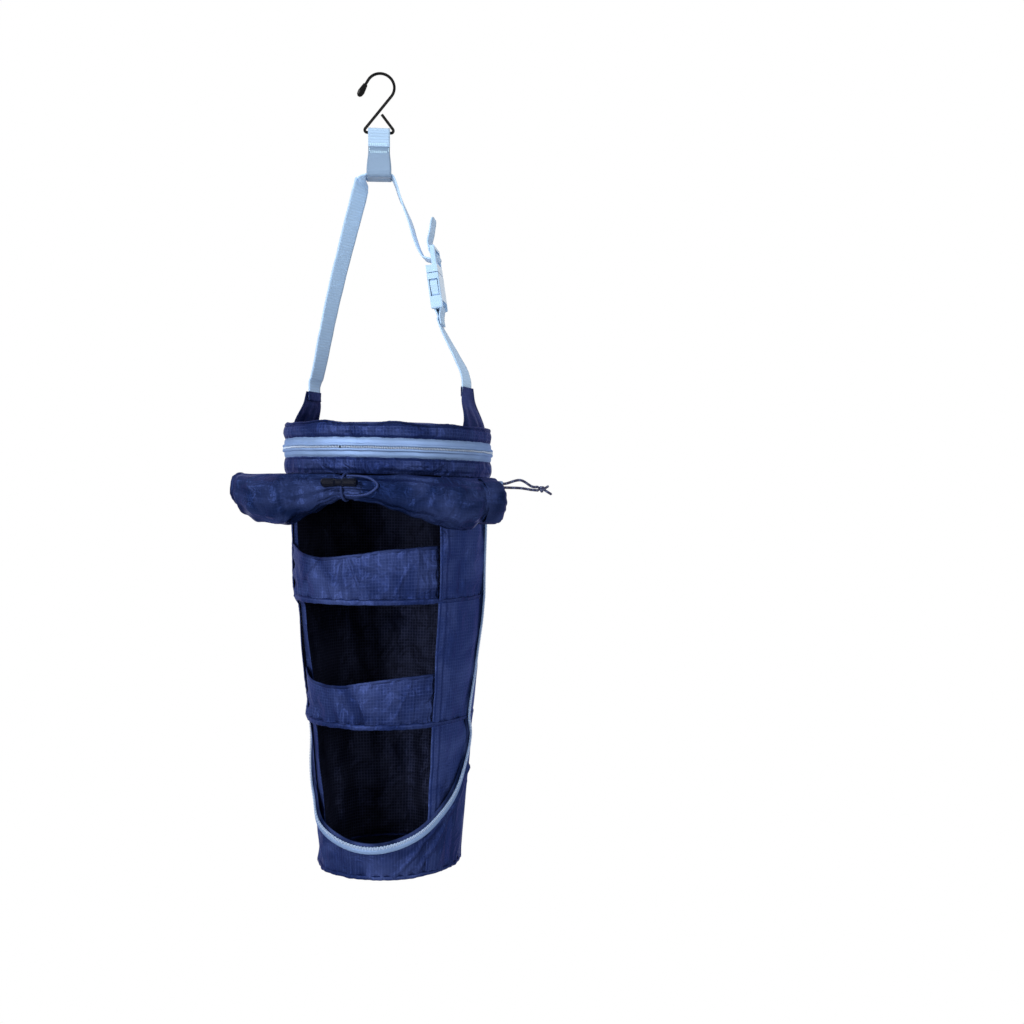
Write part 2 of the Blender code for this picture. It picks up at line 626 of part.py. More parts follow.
def make_anchor(name, sign):
    """The gusset that holds one end of the bail: upright at its top, splayed to the rim below."""
    foot_r = CASE_R - ANCHOR_INSET
    stem = ANCHOR_Z - ANCHOR_STEM
    rows = []
    for width, radius, z in ((ANCHOR_TOP_W, ANCHOR_R, ANCHOR_Z + ANCHOR_LAP),
                             (ANCHOR_TOP_W, ANCHOR_R, stem),
                             (mix(ANCHOR_TOP_W, ANCHOR_BASE_W, 0.35), mix(ANCHOR_R, foot_r, 0.3),
                              mix(stem, RIM_Z, 0.5)),
                             (ANCHOR_BASE_W, foot_r, RIM_Z + 1.6 * GAP)):
        rows.append([Vector((AXIS_X + sign * radius, mix(-width / 2, width / 2, i / 6), z))
                     for i in range(7)])
    sheet(name, rows, FABRIC, NAVY)


def make_case():
    """The round case: cover, two bands with the zip between them, floor and the hoops in its hems."""
    disc("top_cover", LINER_R, RIM_Z, COVER_T, NAVY, dome=COVER_DOME)
    ring_sheet("upper_band", [(CASE_R, RIM_Z), (CASE_R + BAND_BELLY, RIM_Z - UPPER_BAND_H / 2),
                              (CASE_R, ZIP_TOP + GAP / 2)], FABRIC, NAVY)
    tape_edge = COIL_R + GAP
    ring_sheet("zip_tape_upper", [(CASE_R, ZIP_TOP - GAP / 2), (COIL_RING_R, ZIP_TOP - ZIP_BAND_H * 0.25),
                                  (COIL_RING_R, ZIP_MID + tape_edge)], FABRIC, ZIP_BLUE)
    ring_wire("zip_coil", COIL_RING_R, ZIP_MID, COIL_R, ZIP_BLUE, resolution=2)
    ring_sheet("zip_tape_lower", [(COIL_RING_R, ZIP_MID - tape_edge),
                                  (COIL_RING_R, ZIP_BOTTOM + ZIP_BAND_H * 0.25),
                                  (CASE_R, ZIP_BOTTOM + GAP / 2)], FABRIC, ZIP_BLUE)
    ring_sheet("lower_band", [(CASE_R, ZIP_BOTTOM - GAP / 2),
                              (CASE_R + BAND_BELLY, ZIP_BOTTOM - LOWER_BAND_H / 2),
                              (CASE_R, CASE_BOTTOM)], FABRIC, NAVY)
    disc("case_floor", LINER_R, CASE_FLOOR_Z, FLOOR_T, LINING)
    ring_wire("rim_hoop", LINER_R - HOOP_R, RIM_Z - COVER_T - GAP - HOOP_R, HOOP_R, BLACK_WIRE)
    ring_wire("floor_hoop", LINER_R - HOOP_R, CASE_FLOOR_Z + GAP + HOOP_R, HOOP_R, BLACK_WIRE)
    make_anchor("anchor_left", -1)
    make_anchor("anchor_right", 1)


def column_radius(z):
    """The fabric's radius at a height, straight between the seams."""
    seams = [(CASE_BOTTOM, COLUMN_R), (SEAM_1, SHELF_1_R), (SEAM_2, SHELF_2_R), (SEAM_3, BASE_R)]
    for (z_top, r_top), (z_low, r_low) in zip(seams, seams[1:]):
        if z >= z_low:
            return mix(r_top, r_low, (z_top - z) / (z_top - z_low))
    return BASE_R


def door_edge(angle):
    """The height of the door's zip at an angle: a U with upright legs."""
    share = min(1.0, abs(angle - DOOR_CENTRE) / DOOR_HALF)
    return DOOR_STRAIGHT_Z - (DOOR_STRAIGHT_Z - DOOR_BOTTOM_Z) * (1 - share ** 2) ** 0.7


def make_tier(number, z_top, z_bottom, inset):
    """The back wall and the two side panels between one seam and the next."""
    edge = GAP / COLUMN_R
    right = DOOR_CENTRE + DOOR_HALF
    left = DOOR_CENTRE - DOOR_HALF
    r_top = column_radius(z_top)
    r_bottom = column_radius(z_bottom)
    wall("back_wall_%d" % number, (right, left + 2 * math.pi), z_top, z_bottom, r_top, r_bottom, LINING)
    wall("side_panel_right_%d" % number, (FASCIA_HALF + edge, right - edge), z_top, z_bottom,
         r_top - inset, r_bottom - inset)
    wall("side_panel_left_%d" % number, (left + edge, -FASCIA_HALF - edge), z_top, z_bottom,
         r_top - inset, r_bottom - inset)


def make_fascia(name, seam, height):
    """The gathered front wall of one shelf, with a dipped top edge."""
    columns = 42
    half = FASCIA_HALF - GAP / COLUMN_R
    low = seam + HEM_R + GAP
    rows = []
    for k in range(6):
        row = []
        for i in range(columns + 1):
            angle = mix(-half, half, i / columns)
            top = seam + height - FASCIA_DIP * math.cos(angle / FASCIA_HALF * math.pi / 2) ** 2
            share = 1 - k / 5
            z = mix(low, top, share)
            free = math.cos(angle / FASCIA_HALF * math.pi / 2)
            ripple = GATHER * free * math.sin(angle * GATHERS_PER_TURN) * (1 - 0.6 * share)
            belly = FASCIA_BELLY * free * math.sin(share * math.pi)
            row.append(round_point(angle, column_radius(z) + ripple + belly, z))
        rows.append(row)
    sheet(name, rows, FABRIC, NAVY)


def make_front_wall():
    """The wall below the door's zip, with its upright folds."""
    columns = 52
    half = DOOR_HALF - 2 * GAP / BASE_R
    low = SEAM_3 + HEM_R + GAP
    rows = []
    for k in range(5):
        row = []
        for i in range(columns + 1):
            angle = DOOR_CENTRE + half * mix(-1, 1, i / columns)
            z = mix(door_edge(angle), low, k / 4)
            crest = math.sin(angle * FRONT_FOLDS_PER_TURN / 2) ** 2
            fold = FRONT_FOLD * math.sin(k / 4 * math.pi) * crest
            row.append(round_point(angle, column_radius(z) + fold, z))
        rows.append(row)
    sheet("front_wall", rows, FABRIC, NAVY)


def make_door_tape():
    """The door's zip tape: down one leg, round the U and up the other, on the outside."""
    centre = []
    right = DOOR_CENTRE + DOOR_HALF
    left = DOOR_CENTRE - DOOR_HALF
    legs = [CASE_BOTTOM - 1 * MM] + [mix(CASE_BOTTOM, DOOR_STRAIGHT_Z, i / 8) for i in range(1, 8)]
    centre += [(left, z) for z in legs]
    centre += [(mix(left, right, i / 40), door_edge(mix(left, right, i / 40))) for i in range(41)]
    centre += [(right, z) for z in reversed(legs)]
    outside = HEM_R + 2 * GAP + TAPE_T / 2
    rows = []
    last = len(centre) - 1
    for i, (angle, z) in enumerate(centre):
        a0, z0 = centre[max(i - 1, 0)]
        a1, z1 = centre[min(i + 1, last)]
        radius = column_radius(z)
        run = Vector(((a1 - a0) * radius, z1 - z0)).normalized()
        across = Vector((-run.y, run.x)) * TAPE_W / 2
        rows.append([round_point(angle + sign * across.x / radius,
                                 column_radius(z + sign * across.y) + outside, z + sign * across.y)
                     for sign in (-1, 0, 1)])
    sheet("door_zip_tape", rows, TAPE_T, ZIP_BLUE)


def make_column():
    """Three tiers of fabric, their floors with bound seams, the fascias and the door's edge."""
    tops = [CASE_BOTTOM - GAP, SEAM_1 - HEM_R - GAP, SEAM_2 - HEM_R - GAP]
    lows = [SEAM_1 + HEM_R + GAP, SEAM_2 + HEM_R + GAP, SEAM_3 + HEM_R + GAP]
    for number, (z_top, z_low) in enumerate(zip(tops, lows), start=1):
        make_tier(number, z_top, z_low, FABRIC + GAP if number == 3 else 0.0)
    for name, z_top, seam, radius, thickness in (("shelf_1", SHELF_1_Z, SEAM_1, SHELF_1_R, FLOOR_T),
                                                 ("shelf_2", SHELF_2_Z, SEAM_2, SHELF_2_R, FLOOR_T),
                                                 ("base", BASE_Z, SEAM_3, BASE_R, BASE_T)):
        disc(name + "_floor", radius - HEM_R - GAP, z_top, thickness, LINING)
        ring_wire(name + "_hem", radius, seam, HEM_R, NAVY)
    make_fascia("fascia_1", SEAM_1, FASCIA_1_H)
    make_fascia("fascia_2", SEAM_2, FASCIA_2_H)
    make_front_wall()
    make_door_tape()


# The roll's shape: share of its length, and share of its radius there
CUFF_FROM = 0.85
CUFF_R_SHARE = 0.84
WAIST_HALF = 0.035
ROLL_BEND_L = ROLL_BEND * (COLUMN_R + ROLL_R)
ROLL_LENGTH = ROLL_LEFT + ROLL_BEND_L + ROLL_RIGHT
ROLL_SHAPE = ((0.0, 0.6), (0.04, 0.8), (0.11, 0.95), (0.2, 1.0), (0.3, 0.75), (0.36, 0.56),
              (ROLL_WAIST_AT - WAIST_HALF, ROLL_WAIST), (ROLL_WAIST_AT + WAIST_HALF, ROLL_WAIST),
              (0.55, 0.5), (0.63, 0.63), (0.71, 0.76), (0.79, 0.9), (CUFF_FROM, 1.0),
              (CUFF_FROM + 0.045, 1.0), (CUFF_FROM + 0.1, CUFF_R_SHARE), (1.0, CUFF_R_SHARE))


def roll_radius(share):
    """The roll's radius, drawn in where it is tied."""
    for (s0, r0), (s1, r1) in zip(ROLL_SHAPE, ROLL_SHAPE[1:]):
        if share <= s1:
            t = (share - s0) / (s1 - s0)
            return ROLL_R * mix(r0, r1, t * t * (3 - 2 * t))
    return ROLL_R * ROLL_SHAPE[-1][1]


def roll_frame(share):
    """The roll's centre, and the directions outwards and along it: straight on the left of the
    axis, then round the column, and straight again on the right."""
    radius = roll_radius(share)
    tied = 1 - min(1.0, abs(radius / ROLL_R - ROLL_WAIST) * 4)
    cuffed = min(1.0, max(0.0, (share - CUFF_FROM) * 10)) * (CUFF_WALL + GAP)
    reach = COLUMN_R + ROLL_CLEAR + tied * (2 * TIE_R + 2 * GAP) + cuffed + radius
    place = share * ROLL_LENGTH
    z = ROLL_TOP_Z - cuffed - radius
    bent = min(max(place - ROLL_LEFT, 0.0), ROLL_BEND_L)
    angle = bent / (COLUMN_R + ROLL_R)
    outward = Vector((math.sin(angle), -math.cos(angle), 0))
    along = Vector((math.cos(angle), math.sin(angle), 0))
    return round_point(angle, reach, z) + along * (place - ROLL_LEFT - bent), outward, along


def roll_point(share, around, lift):
    """A point above the roll's skin: around is measured from outwards towards up."""
    centre, outward, _ = roll_frame(share)
    return centre + (outward * math.cos(around) + UP * math.sin(around)) * (roll_radius(share) + lift)


def make_door():
    """The door, rolled up under the case, with its cuff, its tie and the toggle."""
    skin = ROLL_WALL / 2
    trim = skin / ROLL_LENGTH
    around = [2 * math.pi * k / 12 for k in range(12)]
    rows = [[roll_point(mix(trim, 1 - trim, i / 24), t, -skin) for t in around] for i in range(25)]
    eyes = [[roll_point(s, t, ROLL_EYE + skin - roll_radius(s)) for t in around]
            for s in (trim, 1 - trim)]
    sheet("door_roll", eyes[:1] + rows + eyes[1:], ROLL_WALL, NAVY, closed=True)
    end, outward, along = roll_frame(1.0)
    cuff_r = roll_radius(1.0) + GAP + CUFF_WALL / 2
    rows = []
    for share in (-0.6, -0.1, 0.4):
        centre = end + along * share * CUFF_L
        rows.append([centre + (outward * math.cos(t) + UP * math.sin(t)) * cuff_r
                     for t in [2 * math.pi * k / 28 for k in range(28)]])
    sheet("roll_cuff", rows, CUFF_WALL, NAVY, closed=True)

    tied = ROLL_WAIST_AT
    ring = [roll_point(tied, 2 * math.pi * i / 24, GAP + TIE_R) for i in range(24)]
    wire("roll_tie", ring, TIE_R, CORD, closed=True)
    lift = 2 * GAP + 2 * TIE_R + TOGGLE_WAIST_R
    centre, outward, along = roll_frame(tied)
    lean = outward * math.cos(TOGGLE_LEAN) + UP * math.sin(TOGGLE_LEAN)
    middle = centre + lean * (roll_radius(tied) + lift)
    axes = Matrix((lean, along.cross(lean) * -1, along * -1)).transposed().to_4x4()
    end = TOGGLE_L / 2
    crown = TOGGLE_R / 2
    groove = TOGGLE_GROOVE / 2
    half = [(0, end), (TOGGLE_R * 0.7, end - GAP), (TOGGLE_R, end - crown),
            (TOGGLE_R, groove + crown), (TOGGLE_WAIST_R, groove)]
    profile = half + [(r, -z) for r, z in reversed(half)]
    turned("toggle_bar", profile, VINYL, steps=20, matrix=Matrix.Translation(middle) @ axes)
    bight = [roll_point(tied + s, a * DEG, 3 * GAP + TIE_R) for s, a in
             ((0.017, 54), (0.056, 53), (0.1, 44), (0.13, 14), (0.1, -18), (0.06, -32), (0.017, -34))]
    wire("tie_bight", smooth_route(bight, 4), TIE_R, CORD)


def make_pull_cord():
    """The door's zip slider in the cuff's mouth, and its knotted pull cord."""
    end, outward, run = roll_frame(1.0)
    centre = end + run * (SLIDER_L / 2 + GAP) + outward * 2 * MM + UP * DOOR_SLIDER_RISE
    place = Matrix.Translation(centre) @ Matrix.Rotation(ROLL_BEND, 4, "Z")
    corner = Vector((SLIDER_L, DOOR_SLIDER_T, SLIDER_H)) / 2
    body = add_part("door_zip_slider", box_mesh("door_zip_slider", -corner, corner), METAL, place)
    round_edges(body, 1.0 * MM)
    exit_point = place @ Vector((SLIDER_L / 2 + GAP, 0, 0))
    knot = exit_point + Vector((0.78, 0.62, 0)) * PULL_CORD_L - UP * 3 * MM
    back = (exit_point - knot).normalized()
    for name, side, rise in (("pull_cord_upper", 1, 4.5), ("pull_cord_lower", -1, 0.8)):
        start = exit_point + UP * side * 1.8 * MM
        stop = knot + back * (KNOT_R + GAP) + UP * side * 1.5 * MM
        middle = start.lerp(stop, 0.5) + UP * rise * MM
        route = smooth_route([start, start + run * 4 * MM, middle, stop - back * -6 * MM, stop], 4)
        wire(name, route, PULL_CORD_R, CORD)
    work = bmesh.new()
    bmesh.ops.create_uvsphere(work, u_segments=14, v_segments=10, radius=KNOT_R)
    mesh = bpy.data.meshes.new("pull_cord_knot")
    work.to_mesh(mesh)
    work.free()
    mesh.shade_smooth()
    add_part("pull_cord_knot", mesh, CORD, Matrix.Translation(knot))


def make_top_slider():
    """The case's zip slider, a wing that rides over the coil, and its hanging pull."""
    radius = COIL_RING_R + COIL_R + GAP
    place = (Matrix.Translation(round_point(SLIDER_AT, radius, ZIP_MID))
             @ Matrix.Rotation(SLIDER_AT, 4, "Z"))
    half = SLIDER_H / 2
    body = add_part("top_zip_slider", box_mesh("top_zip_slider", (-SLIDER_L / 2, -SLIDER_T, -half),
                                               (SLIDER_L / 2, 0, half)), METAL, place)
    round_edges(body, 0.5 * MM)
    for sign in (-1, 1):
        x = sign * (PULL_W / 2 + GAP + EAR_T / 2)
        ear = box_mesh("ear", (x - EAR_T / 2, -SLIDER_T - EAR_REACH, -EAR_H / 2),
                       (x + EAR_T / 2, -SLIDER_T / 2, EAR_H / 2))
        combine(body, ear, "UNION", place)
    pin = Vector((0, -SLIDER_T - PIN_REACH, 0))
    pull_mesh = box_mesh("top_zip_pull", (-PULL_W / 2, -PULL_T / 2, -PULL_L),
                         (PULL_W / 2, PULL_T / 2, PULL_T * 0.75))
    pull = add_part("top_zip_pull", pull_mesh, METAL, place @ Matrix.Translation(pin))
    round_edges(pull, PULL_T * 0.375)


def make_carry_loop():
    """The carry loop on the back of the base: webbing laid flat down both legs, turned at the fold."""
    radius = BASE_R + HEM_R + GAP + WEB_T / 2
    top = SEAM_3 + 1 * MM
    leg = (LOOP_W + LOOP_SLOT) / 2
    route = []
    sides = []
    across = Vector((1, 0, 0))
    straight = LOOP_DROP - leg
    for i in range(4):
        route.append(Vector((AXIS_X - leg, radius, top - straight * i / 4)))
        sides.append(across)
    for i in range(17):
        turn = math.pi * i / 16
        route.append(Vector((AXIS_X - leg * math.cos(turn), radius, top - straight - leg * math.sin(turn))))
        twist = math.sin(turn)
        sides.append((across * math.cos(turn) + Vector((0, 1, 0)) * twist * 1.2).normalized())
    for i in range(1, 5):
        route.append(Vector((AXIS_X + leg, radius, top - straight + straight * i / 4)))
        sides.append(across * -1)
    ribbon("carry_loop", route, sides, LOOP_W, WEB_T, SLATE)


clear_scene()
make_hook()
tab_floor_z = make_tab()
make_buckle()
make_straps(tab_floor_z)
make_case()
make_column()
make_door()
make_pull_cord()
make_top_slider()
make_carry_loop()
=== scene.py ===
"""The looks of a collapsible hanging storage shelf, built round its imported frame.

Everything is in metres, +Z up, with -Y to the front. Angles round the column are measured from
the front towards +X, as in the part.
"""
import json
from math import atan, atan2, copysign, cos, exp, pi, sin, sqrt

import bpy
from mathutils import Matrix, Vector, noise


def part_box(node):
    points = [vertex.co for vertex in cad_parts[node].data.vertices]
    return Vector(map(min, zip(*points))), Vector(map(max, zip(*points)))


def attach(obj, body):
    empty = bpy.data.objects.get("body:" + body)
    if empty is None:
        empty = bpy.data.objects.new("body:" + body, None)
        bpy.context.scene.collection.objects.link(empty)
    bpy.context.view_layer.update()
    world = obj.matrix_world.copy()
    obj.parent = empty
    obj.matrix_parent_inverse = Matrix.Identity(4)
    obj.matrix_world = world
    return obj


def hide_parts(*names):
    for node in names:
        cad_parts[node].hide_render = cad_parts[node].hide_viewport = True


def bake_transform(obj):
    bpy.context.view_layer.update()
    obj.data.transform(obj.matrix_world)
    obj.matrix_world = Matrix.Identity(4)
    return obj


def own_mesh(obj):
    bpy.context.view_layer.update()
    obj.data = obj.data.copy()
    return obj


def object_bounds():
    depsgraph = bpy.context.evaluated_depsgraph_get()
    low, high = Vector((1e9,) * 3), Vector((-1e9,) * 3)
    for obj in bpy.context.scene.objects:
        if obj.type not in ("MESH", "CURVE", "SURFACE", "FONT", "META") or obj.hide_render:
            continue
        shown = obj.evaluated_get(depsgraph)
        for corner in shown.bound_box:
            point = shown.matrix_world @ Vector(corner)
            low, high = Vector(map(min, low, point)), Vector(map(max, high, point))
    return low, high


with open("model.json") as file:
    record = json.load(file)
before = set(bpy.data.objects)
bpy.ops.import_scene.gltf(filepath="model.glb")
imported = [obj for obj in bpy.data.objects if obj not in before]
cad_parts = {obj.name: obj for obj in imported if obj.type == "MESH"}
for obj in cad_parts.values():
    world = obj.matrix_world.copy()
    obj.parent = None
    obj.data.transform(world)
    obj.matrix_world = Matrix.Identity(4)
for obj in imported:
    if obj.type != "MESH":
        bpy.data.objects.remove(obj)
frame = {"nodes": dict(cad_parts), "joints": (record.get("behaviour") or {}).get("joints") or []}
cad_low, cad_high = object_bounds()

MM = 0.001
DEG = pi / 180
TURN = 2 * pi
UP = Vector((0, 0, 1))
FRONT = Vector((0, -1, 0))
RIGHT = Vector((1, 0, 0))

# The photograph's view
VIEW_TURN = 25 * DEG
VIEW_DISTANCE = 1.1
PIXEL = 0.93 * MM           # at the column's axis
FRAME_PIXELS = 1024
AXIS_PIXEL = 388
HORIZON_PIXEL = 490
HORIZON_Z = -0.387
SENSOR = 36.0

# The studio: each lamp's name, place, width and height, and power
WORLD_STRENGTH = 0.3
FLOOR_REACH = 6.0
FLOOR_DROP = 0.12
LAMPS = (("key", (-0.85, -1.15, 0.55), (0.5, 0.5), 11.5), ("strip", (-0.2, -1.25, -0.4), (0.16, 0.9), 8.5),
         ("fill", (1.45, -1.0, -0.2), (0.6, 0.6), 8.0), ("top", (0.25, -0.35, 1.1), (0.5, 0.5), 6.5))

# Cloth, webbing and seams
CLOTH_T = 0.7 * MM
WEB_W = 21 * MM
STRAP_T = 1.4 * MM
SEAM_LAP = 1.8 * MM         # how far a wall's cloth goes into a seam
SEAM_FADE = 9 * MM          # how far a seam's puckers reach
RIPSTOP = 2.8 * MM
STITCH = 3.0 * MM           # a thread's length with its gap, in the cloth's seams

# Colours, linear
NAVY = (0.0092, 0.0175, 0.073)
# The gleam colours are painted sheen: the cloth's colour turns towards them in broad patches.
NAVY_GLEAM = (0.056, 0.083, 0.235)
# A darker navy: painted shade on the rolled door; the elastic and the cuff take it too.
DEEP_NAVY = (0.0052, 0.0115, 0.047)
LINING = (0.006, 0.008, 0.022)
# The lining's painted sheen.
LINING_GLEAM = (0.034, 0.04, 0.08)
WEBBING = (0.5, 0.72, 1.0)
SHADED_WEBBING = (0.23, 0.34, 0.5)
BUCKLE = (0.36, 0.54, 0.76)
ZIP_BLUE = (0.18, 0.27, 0.46)
SLATE = (0.085, 0.13, 0.2)
BLACK = (0.002, 0.002, 0.0025)
TOGGLE = (0.001, 0.002, 0.008)
CORD = (0.008, 0.01, 0.05)
SATIN = {"Metallic": 0.45, "Specular IOR Level": 0.05, "Specular Tint": (0.25, 0.34, 0.85, 1)}


def mix(low, high, share):
    """A value part of the way from low to high."""
    return low + (high - low) * share


def smooth(low, high, value):
    """0 below low, 1 above high and a smooth step between."""
    t = min(1.0, max(0.0, (value - low) / (high - low)))
    return t * t * (3 - 2 * t)


def times(colour, factor, lift=0.0):
    """A colour made lighter or darker."""
    return tuple(min(1.0, c * factor + lift) for c in colour)


# Places read from the frame
def middle(node):
    """The middle of a node's box."""
    low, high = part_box(node)
    return (Vector(low) + Vector(high)) / 2


def across(node):
    """A round node's radius, from its box."""
    low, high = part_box(node)
    return (high[0] - low[0]) / 2


def heights(node):
    """The heights of a node's top and foot."""
    low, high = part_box(node)
    return high[2], low[2]


def from_front(angle):
    """An angle between 0 and a full turn, as one between minus and plus half a turn."""
    return angle if angle < pi else angle - TURN


AXIS = middle("case_floor")
HEM_R = 1.5 * MM
SEAMS = [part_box("lower_band")[0][2]] + [middle(n + "_hem").z for n in ("shelf_1", "shelf_2", "base")]
SEAM_R = [across("back_wall_1")] + [across(n + "_hem") - HEM_R for n in ("shelf_1", "shelf_2", "base")]
BODIES = ["case", "shelf_1", "shelf_2", "base"]


def round_point(angle, radius, z):
    """A point at an angle from the front, a radius from the column's axis and a height."""
    return Vector((AXIS.x + radius * sin(angle), AXIS.y - radius * cos(angle), z))


def column_radius(z):
    """The cloth's radius at a height, straight between the seams."""
    for i in range(3):
        if z >= SEAMS[i + 1]:
            return mix(SEAM_R[i], SEAM_R[i + 1], (SEAMS[i] - z) / (SEAMS[i] - SEAMS[i + 1]))
    return SEAM_R[3]


def ridge(point, scale, seed=0.0):
    """Sharp ridged noise, from about -1 to 1."""
    shift = Vector((seed * 3.1, seed * 1.7, seed * 5.3))
    return 1 - 3.2 * abs(noise.noise(point * scale + shift))


def swell(point, scale, seed=0.0):
    """Soft noise, from about -1 to 1."""
    return 1.6 * noise.noise(point * scale + Vector((seed * 2.3, seed * 4.1, seed)))


class Value:
    """A node's result, which can be reckoned with as a number can."""

    def __init__(self, tree, socket):
        self.tree, self.socket = tree, socket

    def act(self, operation, other=0.0):
        """The result of a Math node on this value and another."""
        node = self.tree.nodes.new("ShaderNodeMath")
        node.operation = operation
        for place, value in zip(node.inputs, (self, other)):
            if isinstance(value, Value):
                self.tree.links.new(value.socket, place)
            else:
                place.default_value = value
        return Value(self.tree, node.outputs[0])

    def __add__(self, other):
        return self.act("ADD", other)

    def __sub__(self, other):
        return self.act("SUBTRACT", other)

    def __mul__(self, other):
        return self.act("MULTIPLY", other)

    def share(self, pitch):
        """How far the value is into its pitch, from 0 to 1."""
        return (self * (1 / pitch)).act("FRACT")

    def wave(self, pitch):
        """A sine of the value, from 0 to 1."""
        return (self * (TURN / pitch)).act("SINE") * 0.5 + 0.5

    def near(self, centre, reach):
        """1 within reach of a place."""
        return (self - centre).act("ABSOLUTE").act("LESS_THAN", reach)


def highest(*values):
    """The highest of several values."""
    top = values[0]
    for value in values[1:]:
        top = top.act("MAXIMUM", value)
    return top


class Shading:
    """A node material on the Principled shader."""

    def __init__(self, name, colour, roughness, plain=()):
        self.material = bpy.data.materials.new(name)
        self.material.use_nodes = True
        self.tree = self.material.node_tree
        self.shader = self.tree.nodes["Principled BSDF"]
        self.colour = (*colour, 1)
        for key, value in {"Base Color": self.colour, "Roughness": roughness, **dict(plain)}.items():
            self.shader.inputs[key].default_value = value
        self.places = self.tree.nodes.new("ShaderNodeTexCoord").outputs

    def add(self, kind, inputs, **settings):
        """A node with its settings, its plain inputs and its links."""
        node = self.tree.nodes.new(kind)
        for key, value in settings.items():
            setattr(node, key, value)
        for key, value in inputs.items():
            if isinstance(value, Value):
                value = value.socket
            if isinstance(value, bpy.types.NodeSocket):
                self.tree.links.new(value, node.inputs[key])
            else:
                node.inputs[key].default_value = value
        return node

    def uv(self):
        """The two surface coordinates, in metres."""
        parts = self.add("ShaderNodeSeparateXYZ", {0: self.places["UV"]}).outputs
        return Value(self.tree, parts[0]), Value(self.tree, parts[1])

    def noise(self, scale, detail=3.0, distortion=0.0):
        """Noise, from 0 to 1."""
        inputs = {"Vector": self.places["Object"], "Scale": scale, "Detail": detail, "Distortion": distortion}
        return Value(self.tree, self.add("ShaderNodeTexNoise", inputs).outputs[0])

    def finish(self, share, other, height, roughness=None):
        """The material, its colour turned towards another by a share, its height in metres."""
        inputs = {0: share, 6: self.colour, 7: (*other, 1)}
        links = {"Base Color": self.add("ShaderNodeMix", inputs, data_type="RGBA").outputs[2],
                 "Normal": self.add("ShaderNodeBump", {"Height": height, "Distance": 1.0}).outputs[0]}
        if roughness:
            links["Roughness"] = roughness.socket
        for key, socket in links.items():
            self.tree.links.new(socket, self.shader.inputs[key])
        return self.material


def cloth(name, colour, gleam=NAVY_GLEAM, seams_u=(), seams_v=(), creases=1.0, grid=1.0, line=0.2,
          roughness=0.42):
    """Coated ripstop nylon with its grid, small creases and stitched seams at given distances, with patches
    of painted sheen and painted shade in the seams' grooves.
    """
    s = Shading(name, colour, roughness, SATIN)
    u, v = s.uv()
    net = highest(*(value.share(RIPSTOP).act("LESS_THAN", line) for value in (u, v)))
    fine = s.noise(900.0, 2.0)
    crumple = s.noise(70.0, 3.0, 1.2)
    billow = s.noise(26.0, 1.5, 1.6)
    sheen_patches = s.noise(24.0, 2.0, 0.8)
    # The broad patches turn the colour towards the gleam colour, a painted sheen; they also vary the
    # roughness.
    share = net * (0.24 * grid) + fine * 0.12 + (sheen_patches - 0.46) * 1.5
    height = (net * (0.05 * MM * grid) + fine * (0.04 * MM) + crumple * (2.4 * MM * creases)
              + billow * (4.5 * MM * creases))
    rows = [(v, u, at) for at in seams_v] + [(u, v, at) for at in seams_u]
    if rows:
        thread = highest(*(value.near(at, 0.28 * MM) * other.share(STITCH).act("GREATER_THAN", 0.3)
                           for value, other, at in rows))
        # The seams' grooves are pressed in and painted darker: painted shade.
        shaded_groove = highest(*(value.near(at, 0.8 * MM) for value, _, at in rows))
        share = share - shaded_groove * 0.9 + thread * 0.35
        height = height + thread * (0.25 * MM) + shaded_groove * (-0.35 * MM)
    rough = sheen_patches * 0.16 + fine * 0.06 + (roughness - 0.1)
    return s.finish(share.act("MAXIMUM", 0.0).act("MINIMUM", 1.0), gleam, height, rough)


def webbing(name, colour, pitch=2.6 * MM, ribs=1.0):
    """Woven webbing: cross ribs with painted shade in their valleys, fine lengthways yarns and firmer
    selvedges.
    """
    s = Shading(name, colour, 0.5, {"Specular IOR Level": 0.3, "Sheen Weight": 0.2, "Sheen Roughness": 0.35})
    u, v = s.uv()
    rib = v.wave(pitch)
    yarn = u.wave(1.05 * MM)
    fuzz = s.noise(700.0)
    wear = s.noise(25.0, 2.0)
    edge = highest(u.near(0.7 * MM, 0.8 * MM), u.near(WEB_W - 0.7 * MM, 0.8 * MM))
    # The rib valleys are painted darker: painted shade between the ribs.
    share = (rib * -1 + 1) * (0.42 * ribs) + fuzz * 0.2 + wear * 0.25 + edge * 0.15
    height = rib * (0.13 * MM * ribs) + yarn * (0.03 * MM) + fuzz * (0.06 * MM) + edge * (0.1 * MM)
    return s.finish(share, times(colour, 0.66), height, fuzz * 0.2 + rib * 0.1 + 0.4)


def plastic(name, colour, roughness, coat=0.0, specular=0.5):
    """A moulded plastic with faint flow marks and fine scuffs."""
    s = Shading(name, colour, roughness, {"Coat Weight": coat, "Coat Roughness": 0.15,
                                          "Specular IOR Level": specular})
    scuff = s.noise(400.0, 4.0)
    flow = s.noise(40.0, 2.0, 1.5)
    return s.finish(scuff * 0.08 + flow * 0.35, times(colour, 1.18, 0.002),
                    scuff * (0.006 * MM) + flow * (0.05 * MM), scuff * 0.16 + flow * 0.08 + (roughness - 0.1))


def metal(name, colour, roughness, metallic, worn_share=0.5):
    """Painted or coated metal with wear that shows a little brighter."""
    s = Shading(name, colour, roughness, {"Metallic": metallic, "Specular IOR Level": 0.06})
    wear = s.noise(160.0, 5.0)
    grain = s.noise(900.0, 2.0)
    share = wear.act("GREATER_THAN", 0.68) * worn_share + grain * 0.1
    return s.finish(share, times(colour, 1.6, 0.012), grain * (0.02 * MM) + wear * (0.05 * MM),
                    wear * 0.2 + grain * 0.06 + (roughness - 0.12))


